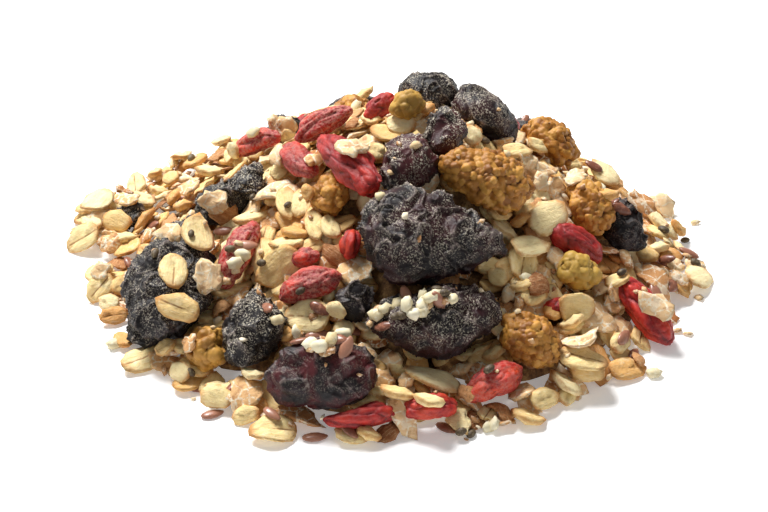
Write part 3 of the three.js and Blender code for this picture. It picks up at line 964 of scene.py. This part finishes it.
# What lies on top where the picture shows it: kind, picture column and row, turn from level in degrees,
# length in picture units, and tone from pale to dark. Kinds: o oat, c creased oat, w wheat, b bran, s wheat
# that stands up, e oat and v wheat with the rim towards the picture.
pictured = {
    "leftSlope": [
        ("o", 112, 212, 30, 36, .6), ("w", 128, 202, -10, 30, .4), ("o", 118, 222, -20, 34, .5),
        ("c", 90, 222, 20, 34, .3), ("w", 84, 236, 0, 28, .5), ("o", 100, 236, 30, 36, .6),
        ("w", 116, 234, 10, 30, .3), ("o", 92, 226, -40, 30, .2), ("w", 104, 244, -15, 30, .6),
        ("o", 120, 205, 60, 30, .3), ("w", 108, 200, 10, 26, .5), ("o", 88, 212, 0, 30, .5),
        ("o", 98, 205, 45, 43, .1), ("w", 107, 225, 0, 36, .3), ("w", 124, 195, 60, 20, .9),
        ("w", 146, 174, 0, 22, .9), ("w", 157, 168, 60, 28, .2),
        ("c", 136, 182, -80, 35, .2), ("o", 155, 177, 0, 16, .3), ("w", 173, 153, 40, 12, .0),
        ("o", 195, 167, 35, 36, .75), ("o", 182, 161, 40, 34, .2), ("o", 204, 177, -8, 24, .8),
        ("e", 210, 171, -5, 34, .2), ("v", 189, 181, -12, 36, .0), ("e", 168, 172, 5, 14, .5),
        ("o", 172, 184, -40, 26, .55), ("e", 159, 191, -15, 24, .3), ("o", 143, 204, -20, 28, .15),
        ("w", 190, 194, 15, 30, .3), ("o", 174, 203, -10, 24, .8), ("e", 183, 206, 15, 20, .8),
        ("w", 215, 202, -20, 32, .2), ("b", 224, 213, -15, 33, .4), ("e", 145, 220, 50, 30, .9),
        ("e", 121, 239, 5, 38, .3), ("c", 85, 249, 30, 42, .3), ("w", 111, 250, 0, 24, .5),
        ("o", 98, 259, -10, 40, .4), ("w", 102, 275, -15, 27, .2), ("c", 101, 293, 50, 36, .4),
        ("o", 120, 292, 60, 22, .6), ("o", 110, 308, -5, 24, .1), ("c", 114, 322, 5, 29, .9),
        ("o", 124, 345, -60, 26, .8), ("c", 143, 364, 25, 48, .3), ("w", 165, 365, 15, 38, .4),
        ("o", 196, 373, -28, 38, .4), ("o", 181, 378, -25, 26, .2), ("w", 170, 236, 20, 30, .2),
        ("o", 196, 237, -70, 46, .3), ("c", 173, 274, 88, 41, .3), ("c", 178, 308, -22, 42, .5),
        ("w", 214, 254, -70, 20, .7), ("e", 208, 320, -5, 22, .3), ("w", 176, 347, 10, 24, .5),
        ("o", 184, 353, -20, 24, .4), ("o", 166, 353, 30, 22, .5), ("w", 192, 345, 0, 20, .6),
    ],
    "front": [
        ("c", 233, 372, 60, 30, .4), ("e", 220, 388, -5, 30, .3), ("o", 217, 403, -15, 34, .3),
        ("w", 245, 398, 45, 40, .4), ("o", 246, 422, 10, 28, .4), ("c", 274, 437, -3, 47, .4),
        ("w", 301, 423, -30, 42, .8), ("o", 353, 439, -10, 37, .3), ("e", 369, 433, -25, 26, .5),
        ("s", 403, 420, -60, 40, .2), ("e", 367, 400, 3, 41, .3), ("e", 379, 392, -3, 38, .4),
        ("o", 252, 377, -15, 26, .1), ("o", 432, 382, -20, 56, .1), ("o", 398, 377, -15, 20, .4),
        ("w", 407, 386, -40, 17, .3), ("e", 429, 400, -12, 32, .3), ("e", 397, 393, -15, 34, .5),
        ("e", 472, 353, 15, 40, .3), ("o", 442, 362, 30, 25, .4), ("o", 414, 358, 0, 25, .3),
        ("e", 494, 353, 30, 27, .4), ("w", 461, 373, 5, 25, .3), ("b", 501, 407, -35, 33, .5),
        ("b", 467, 393, -50, 20, .3), ("w", 470, 405, -40, 35, .5), ("w", 522, 394, 30, 34, .3),
        ("o", 543, 405, 15, 32, .4), ("o", 566, 403, 45, 20, .3), ("e", 566, 384, -35, 38, .1),
        ("e", 527, 422, -20, 36, .5),
    ],
    "rightSlope": [
        ("o", 586, 375, -8, 43, .5), ("c", 583, 363, -15, 48, .4), ("o", 626, 376, 5, 39, .8),
        ("w", 602, 322, 40, 48, .3), ("w", 580, 344, 10, 42, .2), ("o", 571, 332, 28, 34, .4),
        ("e", 571, 322, 25, 30, .3), ("o", 553, 318, 15, 30, .8), ("o", 619, 349, 25, 28, .3),
        ("b", 640, 354, 0, 18, .2), ("o", 574, 307, -8, 44, .4), ("v", 578, 300, -8, 38, .3),
        ("w", 602, 292, 15, 26, .0), ("w", 613, 299, 25, 15, .4), ("w", 655, 306, -35, 36, .2),
        ("o", 619, 282, 15, 27, .4), ("w", 654, 284, -45, 42, .7), ("o", 698, 285, 15, 42, .1),
        ("w", 681, 279, 60, 24, .4), ("o", 607, 185, -35, 34, .8), ("o", 604, 177, -38, 40, .1),
        ("o", 572, 168, 0, 27, .4), ("w", 543, 174, 0, 29, .2), ("w", 552, 194, 20, 28, .4),
        ("w", 542, 187, -5, 21, .0), ("w", 575, 181, 35, 26, .2), ("b", 540, 211, 0, 26, .2),
        ("o", 525, 218, 35, 20, .4), ("o", 547, 224, 25, 48, .2), ("e", 608, 195, 3, 24, .8),
        ("w", 639, 204, -35, 34, .8), ("o", 657, 238, -30, 25, .4), ("e", 662, 224, -45, 50, .1),
        ("e", 658, 248, 10, 22, .3), ("o", 679, 220, -35, 26, .8), ("s", 664, 198, -75, 32, .0),
        ("w", 606, 255, -62, 36, .8), ("w", 626, 264, -70, 22, .4), ("o", 647, 260, -25, 28, .6),
        ("c", 522, 269, 80, 40, .4), ("o", 529, 250, 5, 44, .2), ("e", 502, 224, -50, 30, .3),
        ("e", 489, 214, -50, 30, .3), ("e", 498, 214, -20, 27, .4), ("e", 521, 220, 25, 24, .8),
        ("e", 504, 232, -35, 34, .1), ("o", 489, 272, -5, 24, .4), ("o", 498, 283, -10, 23, .4),
        ("e", 522, 286, 12, 32, .5), ("w", 508, 300, 0, 14, .0), ("v", 518, 304, 70, 24, .5),
        ("o", 533, 302, 25, 30, .4), ("b", 541, 289, 0, 32, .9),
    ],
    "crest": [
        ("o", 222, 145, 10, 26, .1), ("o", 236, 149, 0, 16, .1), ("b", 215, 159, -20, 22, .3),
        ("c", 233, 160, -60, 30, .3), ("o", 256, 156, 60, 30, .4), ("w", 278, 155, -80, 26, .2),
        ("e", 285, 169, -25, 22, .4), ("o", 280, 178, 35, 20, .3), ("w", 276, 195, -5, 50, .1),
        ("o", 287, 210, -75, 36, .4), ("o", 301, 210, 80, 36, .3), ("o", 310, 192, -10, 17, .8),
        ("e", 252, 218, 12, 42, .3), ("w", 313, 162, -70, 20, .4), ("w", 296, 116, 30, 28, .2),
        ("w", 306, 112, 0, 18, .1), ("w", 284, 127, 15, 30, .3), ("o", 290, 136, -40, 26, .3),
        ("w", 276, 123, 40, 20, .1), ("o", 326, 106, 12, 44, .1), ("e", 362, 97, 40, 30, .4),
        ("b", 352, 125, 0, 16, .6), ("w", 352, 150, -35, 40, .1), ("o", 377, 158, -30, 18, .3),
        ("c", 371, 124, 88, 31, .3), ("o", 408, 124, -5, 34, .3), ("o", 401, 130, -3, 34, .1),
        ("e", 425, 111, 28, 24, .9), ("o", 472, 142, -50, 22, .1), ("w", 503, 144, 25, 34, .4),
        ("o", 517, 153, 3, 32, .4), ("o", 537, 151, -15, 28, .3), ("w", 527, 167, -10, 26, .2),
        ("w", 424, 186, -8, 33, .2),
    ],
    "middle": [
        ("o", 321, 224, -60, 36, .4), ("e", 296, 234, -8, 32, .8), ("e", 287, 244, 5, 38, .3),
        ("o", 315, 231, -70, 34, .4), ("o", 330, 234, -60, 30, .3), ("o", 280, 273, 45, 54, .5),
        ("b", 338, 262, -35, 34, .6), ("e", 231, 291, 8, 50, .3), ("w", 205, 279, 47, 36, .1),
        ("b", 250, 275, 10, 20, .1), ("o", 305, 309, 8, 22, .8), ("c", 308, 323, -2, 49, .2),
        ("o", 338, 308, -30, 22, .1), ("o", 286, 340, -10, 17, .8), ("w", 326, 350, -15, 18, .3),
        ("o", 344, 335, 35, 24, .1), ("w", 361, 327, -50, 26, .2),
    ],
}

# Seeds: kind, picture column and row, turn from level in degrees. f flax, h hemp heart, k chia, m crumb.
picturedSeeds = [
    ("h", 115, 347, 20), ("f", 198, 390, -20), ("f", 272, 415, -50), ("f", 315, 439, 12),
    ("f", 349, 432, -65), ("h", 487, 426, 10), ("h", 498, 424, 60), ("m", 475, 420, 0),
    ("f", 447, 430, -50), ("k", 461, 432, 20), ("k", 471, 436, 70), ("h", 654, 376, 0),
    ("f", 622, 338, 30), ("m", 688, 335, 0), ("m", 677, 332, 40), ("f", 615, 206, -3),
    ("m", 695, 224, 0), ("f", 668, 260, -10), ("k", 685, 242, 15), ("k", 622, 273, 30),
    ("k", 484, 142, 0), ("m", 449, 103, 0), ("m", 415, 145, 0), ("h", 255, 134, 0),
    ("h", 353, 107, 30), ("h", 234, 262, 0), ("k", 263, 263, 0), ("m", 225, 281, 0),
    ("f", 320, 309, -30), ("h", 277, 322, 0), ("h", 278, 335, 40), ("h", 292, 333, 80),
    ("f", 317, 336, 15), ("f", 301, 343, 0), ("f", 346, 348, 65), ("f", 354, 333, 20),
    ("m", 338, 321, 0), ("f", 224, 232, -3), ("k", 143, 286, 20), ("h", 377, 316, 0),
    ("f", 385, 327, -5), ("h", 425, 297, 40), ("h", 415, 313, 20), ("h", 404, 311, 0), ("h", 452, 301, 60),
    ("f", 407, 296, -70), ("f", 438, 300, -60), ("h", 416, 288, 60), ("m", 394, 290, 60),
    ("k", 389, 313, 30),
    ("k", 437, 292, 0), ("m", 399, 303, 0), ("m", 430, 306, 0), ("k", 444, 294, 0), ("h", 421, 306, 70),
    ("m", 380, 309, 0), ("k", 395, 318, 40), ("h", 320, 345, 10), ("m", 331, 351, 30), ("m", 312, 350, 0),
    ("h", 471, 278, 0), ("f", 612, 206, 15), ("f", 621, 209, -25), ("h", 431, 300, 20), ("h", 410, 305, 50),
    ("h", 385, 311, 30), ("h", 420, 312, 0), ("h", 398, 306, 75), ("k", 402, 316, 10), ("h", 343, 334, 10),
    ("h", 331, 341, 60), ("m", 325, 341, 0), ("h", 437, 296, 80), ("m", 445, 301, 0), ("k", 425, 305, 40),
    ("h", 311, 345, 30), ("f", 337, 341, -20), ("m", 300, 336, 0), ("h", 243, 254, 0), ("m", 250, 262, 0),
    ("f", 246, 247, 0), ("m", 242, 273, 0), ("m", 236, 270, 40), ("k", 231, 250, 0), ("h", 258, 240, 40),
    ("m", 239, 245, 0), ("m", 262, 252, 0), ("h", 310, 298, 0), ("k", 300, 290, 30), ("h", 331, 295, 40),
]

scatter = {"flaxSeeds": 40, "hempHearts": 16, "chiaSeeds": 40, "crumbs": 420}


layCodes = {
    "o": {"kind": "oatFlakes", "variants": (1, 3, 5)},
    "c": {"kind": "oatFlakes", "variants": (0, 2, 4)},
    "w": {"kind": "wheatFlakes", "variants": (0, 1, 2, 3, 5, 7)},
    "b": {"kind": "branCups", "variants": (0, 1, 2)},
    "e": {"kind": "oatFlakes", "variants": (1, 3, 5), "open": 14, "out": 2.6},
    "v": {"kind": "wheatFlakes", "variants": (0, 1, 2), "open": 14, "out": 2.6},
    "s": {"kind": "wheatFlakes", "variants": (1, 3), "upright": True},
}
seedCodes = {"f": "flaxSeeds", "h": "hempHearts", "k": "chiaSeeds", "m": "crumbs"}
unitsPerMm = 5.5  # picture units to a millimetre on the slope that faces the camera


# A direction drawn in the picture, in degrees from level, as a direction in space.
def drawn(degrees):
    return math.cos(math.radians(degrees)) * viewRight + math.sin(math.radians(degrees)) * viewUp


laying = {
    "seed": 29,
    "leastWidth": 0.55,  # short flakes are broken ones, and keep at least this share of their width
    "widths": (0.85, 1.0),
    "lean": 5,  # degrees off the slope
    "edgeOn": (1, 0.9, 1.15),  # how a flake seen edge on is scaled further
    "above": 1.3,  # millimetres that a flake may lie above the place seen
    "steep": 0.45,
}


# Lays every flake that the picture shows, in the order of its table, each on what lies there already.
def layPictured():
    rng = np.random.default_rng(laying["seed"])
    for rows in pictured.values():
        for code, px, py, degrees, length, tone in rows:
            how = layCodes[code]
            kind = how["kind"]
            shape = shapes[kind][how["variants"][rng.integers(len(how["variants"]))]]
            size = length / unitsPerMm / flakeKinds[kind]["size"][0]
            width = max(size, laying["leastWidth"]) * rng.uniform(*laying["widths"])
            scale = np.array([size, width, 1.0])
            curl = curlOf(kind, rng)
            lean = rng.normal(0, laying["lean"], 2)
            along = drawn(degrees)
            place, normal = underPixel(px, py)
            if "open" in how:
                scale = scale * np.array(laying["edgeOn"])
                rest = findSlot(shape, px, py, along, scale, curl, math.radians(how["open"]), how["out"])
            elif "upright" in how:
                rest = standUp(shape, px, py, length, along, scale, curl)
            elif normal is not None:
                normal = broadNormal(px, py, place, normal)
                rest = onFruit(shape, place, normal, along, scale, curl, lean)
            else:
                x, y, z = place
                most = z + laying["above"]
                rest = findRest(shape, x, y, along, scale, curl, lean, True, laying["steep"], most)
            if rest is not None:
                lay(kind, shape, rest, tone, normal is None)


# Foot is how far down from its middle a flake touches the table, as a share of its length, behind how many
# millimetres its middle is beyond that, and facing how it turns away from the camera.
standing = {"foot": 0.45, "behind": 0.5, "facing": (0.15, 0, 0.25)}


# Upright on the table, its face towards the picture.
def standUp(shape, px, py, length, along, scale, curl):
    foot, _ = underPixel(px, py + standing["foot"] * length)
    ray = directionOf(px, py)
    away = ((foot - cameraPlace) @ viewAhead + standing["behind"]) / (ray @ viewAhead)
    normal = -viewAhead + np.array(standing["facing"])
    turn = turnTo(normal / np.linalg.norm(normal), along)
    place = cameraPlace + ray * away
    place[2] = -(curled(shape["points"], scale, curl) @ turn.T)[:, 2].min()
    return placed(shape, scale, curl, turn, place)


seedLaying = {
    "seed": 31,
    "hempSizes": (1.0, 1.25),
    "sizes": (0.9, 1.1),
    "scatterSizes": (0.8, 1.15),
    "crumbSizes": (0.3, 1.0),
    "mostlySmall": 1.3,  # the power that makes small crumbs more common
    "above": 0.85,  # how far a seed stands out, as a share of its lower half
    "picks": 6,  # places compared for each scattered seed: the lowest gets it
    "spread": 4,  # cells
    "onFruit": 0.2,  # share of the scattered seeds that may land on a fruit
    "fall": 60.0,  # millimetres over the table
}


# A seed comes to lie where a straight line first meets the heap, or else on the table.
def dropSeed(kind, start, ray, along, size, rng):
    place, normal, _, _ = heapTree.ray_cast(Vector(start), Vector(ray))
    if place is None:
        place, normal = Vector(start + ray * (start[2] / -ray[2])), Vector((0, 0, 1))
    normal = np.array(normal) * (1 if normal @ Vector(ray) < 0 else -1)
    if place.z < -0.1 or normal[2] < 0.1:
        return
    shape = shapes[kind][rng.integers(len(shapes[kind]))]
    turn = turnTo(normal, along + 0.01)
    points = shape["points"] * size @ turn.T
    place = np.array(place) - normal * (points @ normal).min() * seedLaying["above"]
    lay(kind, shape, placed(shape, size * np.ones(3), (0, 0, 0), turn, place), rng.random(), False)


# Seeds and crumbs: first those that the picture shows, then scattered ones, which gather in low places.
def laySeeds():
    rng = np.random.default_rng(seedLaying["seed"])
    for code, px, py, degrees in picturedSeeds:
        size = rng.uniform(*seedLaying["hempSizes" if code == "h" else "sizes"])
        dropSeed(seedCodes[code], cameraPlace, directionOf(px, py), drawn(degrees), size, rng)
    spread = seedLaying["spread"]
    for kind, number in scatter.items():
        ground = np.argwhere(heapTop > 0.01)
        for _ in range(number):
            middle = ground[rng.integers(len(ground))]
            steps = rng.integers(-spread, spread + 1, (seedLaying["picks"], 2))
            near = np.clip(middle + steps, 0, cells - 1)
            i, j = near[np.argmin(surface[near[:, 0], near[:, 1]] - outline[near[:, 0], near[:, 1]])]
            if kind == "crumbs":
                size = rng.uniform(*seedLaying["crumbSizes"]) ** seedLaying["mostlySmall"]
            else:
                size = rng.uniform(*seedLaying["scatterSizes"])
            if not kept[i, j] or rng.random() < seedLaying["onFruit"]:
                start = np.array([*placeOf(i, j), seedLaying["fall"]])
                along = plan(rng.uniform(0, 2 * math.pi))
                dropSeed(kind, start, np.array([0, 0, -1.0]), along, size, rng)


layPictured()
heapParts = [(meshArrays(piece.data)[0], facesOf(piece.data)) for piece in fruitPieces]
heapParts += [(item["points"], item["shape"]["faces"]) for kind in flakeKinds for item in laid[kind]]
heapTree = treeOf(heapParts)
laySeeds()
print("pictured pieces laid")


# Joins everything laid of one kind into one mesh, with each piece's own place and tone as attributes.
def joinLaid(kind):
    points, faces, local, tone, crease = [], [], [], [], []
    start = 0
    for item in laid[kind]:
        shape = item["shape"]
        points.append(item["points"])
        faces += [(face + start).tolist() for face in shape["faces"]]
        local.append(shape["local"])
        tone.append(np.full(len(item["points"]), item["tone"]))
        crease.append(np.full(len(item["points"]), shape.get("crease", 0.0)))
        start += len(item["points"])
    mesh = bpy.data.meshes.new(kind)
    allPoints = np.concatenate(points)
    mesh.from_pydata((allPoints * mm).tolist(), [], faces)
    mesh.validate()
    marks = {"local": local, "tone": tone, "crease": crease}
    writeSurface(mesh, allPoints, {name: np.concatenate(values) for name, values in marks.items()})
    bm = bmesh.new()
    bm.from_mesh(mesh)
    bmesh.ops.recalc_face_normals(bm, faces=bm.faces)
    bm.to_mesh(mesh)
    bm.free()
    return linkMesh(kind, mesh)


# Rolled oats: steamed, pressed flat. Cream and floury in the middle, ochre at the rim and the tips where
# the bran is left, with painted shade along a thin broken crease.
def oatSkin():
    shading = {
        "Roughness": 0.72, "Specular IOR Level": 0.3, "Subsurface Weight": 0.12,
        "Subsurface Scale": 0.8 * mm, "Subsurface Radius": (1.0, 0.7, 0.4),
    }
    grains = [(0.55, 5.0, 0.7), (2.6, 3.0, 0.55), (1.1, 3.0, 0.6)]
    material, tree, shader, fields = startMaterial("rolledOat", shading, grains, ("tone", "crease"))
    _, grain, patch, streak, tone, crease = fields
    local = addNode(tree, "Attribute", {"attribute_name": "local"}, {}, "Vector")
    axes = [addNode(tree, "SeparateXYZ", {}, {0: local}, name) for name in "XYZ"]
    along, across, rim = [addNode(tree, "Math", {"operation": "ABSOLUTE"}, {0: axis}) for axis in axes]
    fibre = fibresOf(tree, local, (2.0, 11.0, 2.0))
    stops = [(0.0, "#FAEABB"), (0.35, "#F5DC9E"), (0.7, "#E6B973"), (1.0, "#CC8B4A")]
    base = addNode(tree, "ValToRGB", {"stops": stops}, {"Fac": tone}, "Color")
    colour = layerColours(tree, base, [
        ((patch, 0.55, 0.75, 0.45), "#FAEFC8"),
        ((fibre, 0.5, 0.7, 0.4), "#D8AF6C"),
        ((fibre, 0.44, 0.3, 0.4), "#FBF1D2"),
        ((rim, 0.62, 0.1), (streak, 0.35, 0.6, 0.7), "#C78D4A"),
        ((along, 0.45, 1.0), (patch, 0.35, 0.6, 0.8), "#C08040"),
        # Painted shade: a dark brown line along the crease of the creased flakes.
        ((across, 0.1, 0.02), (along, 0.95, 0.7, 0.8), (patch, 0.36, 0.5), (crease, 0.0, 1.0), "#9A6431"),
        ((grain, 0.56, 0.75, 0.45), "#FCF5DF"),
        ((grain, 0.42, 0.3, 0.45), "#B3804A"),
    ])
    dress(tree, shader, colour, [grain, streak, fibre], 0.7, 0.22)
    return material


# Wheat flakes: pink-tan bran that cracks when rolled and shows white starch.
def wheatSkin():
    shading = {
        "Roughness": 0.75, "Specular IOR Level": 0.3, "Subsurface Weight": 0.12,
        "Subsurface Scale": 0.8 * mm, "Subsurface Radius": (1.0, 0.7, 0.5),
    }
    grains = [(0.6, 5.0, 0.7), (2.6, 4.0, 0.6)]
    material, tree, shader, fields = startMaterial("wheatFlake", shading, grains, ("tone",))
    place, grain, patch, tone = fields
    limits = {"Vector": place, "Scale": 1000 / 2.3}  # 2.3 mm between cracks
    cracks = addNode(tree, "TexVoronoi", {"feature": "DISTANCE_TO_EDGE"}, limits, "Distance")
    stops = [(0.0, "#F4D6A8"), (0.4, "#EBBD85"), (0.75, "#D89C63"), (1.0, "#B5743D")]
    base = addNode(tree, "ValToRGB", {"stops": stops}, {"Fac": tone}, "Color")
    colour = layerColours(tree, base, [
        ((patch, 0.56, 0.64, 0.65), "#F8E8CC"),
        ((patch, 0.44, 0.34, 0.6), "#A8683C"),
        ((grain, 0.56, 0.72, 0.4), "#FFF6E4"),
        ((grain, 0.4, 0.3, 0.4), "#9C6238"),
        ((cracks, 0.09, 0.02), (grain, 0.4, 0.55), "#F9ECD2"),
    ])
    dress(tree, shader, colour, [grain], 0.9, 0.35)
    return material


# Bran: the papery brown husk of the grain, with veins along it.
def branSkin():
    shading = {"Roughness": 0.7, "Specular IOR Level": 0.35}
    material, tree, shader, fields = startMaterial("branHusk", shading, [(0.7, 5.0, 0.7)], ("tone",))
    _, grain, tone = fields
    local = addNode(tree, "Attribute", {"attribute_name": "local"}, {}, "Vector")
    vein = fibresOf(tree, local, (1.5, 8.0, 1.5))
    stops = [(0.0, "#D29C66"), (0.5, "#B67B49"), (1.0, "#935D34")]
    base = addNode(tree, "ValToRGB", {"stops": stops}, {"Fac": tone}, "Color")
    colour = layerColours(tree, base, [
        ((vein, 0.5, 0.68, 0.6), "#DDB485"),
        ((grain, 0.52, 0.7, 0.5), "#E3C096"),
        ((grain, 0.46, 0.34, 0.6), "#6B4022"),
    ])
    dress(tree, shader, colour, [grain, vein], 0.8, 0.3)
    return material


# A seed coat: one colour that shifts from seed to seed, with a fine grain.
def seedCoat(name, stops, roughness, speck, grainMm):
    shading = {"Roughness": roughness, "Specular IOR Level": 0.5}
    material, tree, shader, fields = startMaterial(name, shading, [(grainMm, 4.0, 0.65)], ("tone",))
    _, grain, tone = fields
    base = addNode(tree, "ValToRGB", {"stops": stops}, {"Fac": tone}, "Color")
    colour = layerColours(tree, base, [((grain, 0.5, 0.65, 0.6), speck)])
    dress(tree, shader, colour, [grain], 0.3, 0.1)
    return material


flaxStops = [(0.0, "#AC7A62"), (0.5, "#92604B"), (1.0, "#764736")]
hempStops = [(0.0, "#F0E6C8"), (0.5, "#E6DAB4"), (1.0, "#D6C08E")]
chiaStops = [(0.0, "#55452F"), (0.5, "#3A2D1F"), (1.0, "#6E5C3F")]
crumbStops = [(0.0, "#F4E9D0"), (0.4, "#E3C796"), (0.8, "#C69462"), (1.0, "#97663C")]
finishes = {
    "oatFlakes": oatSkin(),
    "wheatFlakes": wheatSkin(),
    "branCups": branSkin(),
    "flaxSeeds": seedCoat("flaxCoat", flaxStops, 0.3, "#B98066", 0.8),
    "hempHearts": seedCoat("hempHeart", hempStops, 0.6, "#F7F3DE", 0.9),
    "chiaSeeds": seedCoat("chiaCoat", chiaStops, 0.6, "#8F7F5E", 0.5),
    "crumbs": seedCoat("flakeCrumb", crumbStops, 0.85, "#FFF7E6", 0.6),
}
for kind, finish in finishes.items():
    piece = finishPiece(joinLaid(kind), finish, "flakes", "flake_heap")
    print(kind, len(laid[kind]), "laid,", len(piece.data.polygons), "faces")


# A white floor that glows a little, two soft lamps and an even white world, as round the photo's heap.
def makeStudio():
    bm = bmesh.new()
    bmesh.ops.create_grid(bm, x_segments=1, y_segments=1, size=studio["floorSize"] / 2)
    mesh = bpy.data.meshes.new("floor")
    bm.to_mesh(mesh)
    bm.free()
    floor = linkMesh("floor", mesh)
    mesh.materials.append(startMaterial("paleFloor", {
        "Roughness": 0.7, "Base Color": (0.95, 0.95, 0.95, 1),
        "Emission Color": (1, 1, 1, 1), "Emission Strength": studio["floorGlow"],
    })[0])
    for name in ("key", "fill"):
        light = bpy.data.lights.new(name, "AREA")
        light.energy = studio[name + "Power"]
        light.size = studio[name + "Size"]
        lamp = bpy.data.objects.new(name, light)
        lamp.location = studio[name + "Place"]
        lamp.rotation_euler = (-lamp.location).to_track_quat("-Z", "Y").to_euler()
        bpy.context.collection.objects.link(lamp)
    world = bpy.data.worlds.new("studio")
    world.use_nodes = True
    world.node_tree.nodes["Background"].inputs["Color"].default_value = (1, 1, 1, 1)
    world.node_tree.nodes["Background"].inputs["Strength"].default_value = studio["world"]
    bpy.context.scene.world = world
    bpy.context.scene.view_settings.view_transform = "Standard"


# The camera looks at the heap as the photo does.
def makeCamera():
    data = bpy.data.cameras.new("camera")
    data.lens = view["lens"]
    data.sensor_width = view["sensor"]
    data.clip_start = 0.01
    data.clip_end = 10
    camera = bpy.data.objects.new("camera", data)
    camera.location = Vector(cameraPlace) * mm
    camera.rotation_euler = Vector(viewAhead).to_track_quat("-Z", "Y").to_euler()
    bpy.context.collection.objects.link(camera)
    bpy.context.scene.camera = camera


makeStudio()
makeCamera()
print("studio ready")
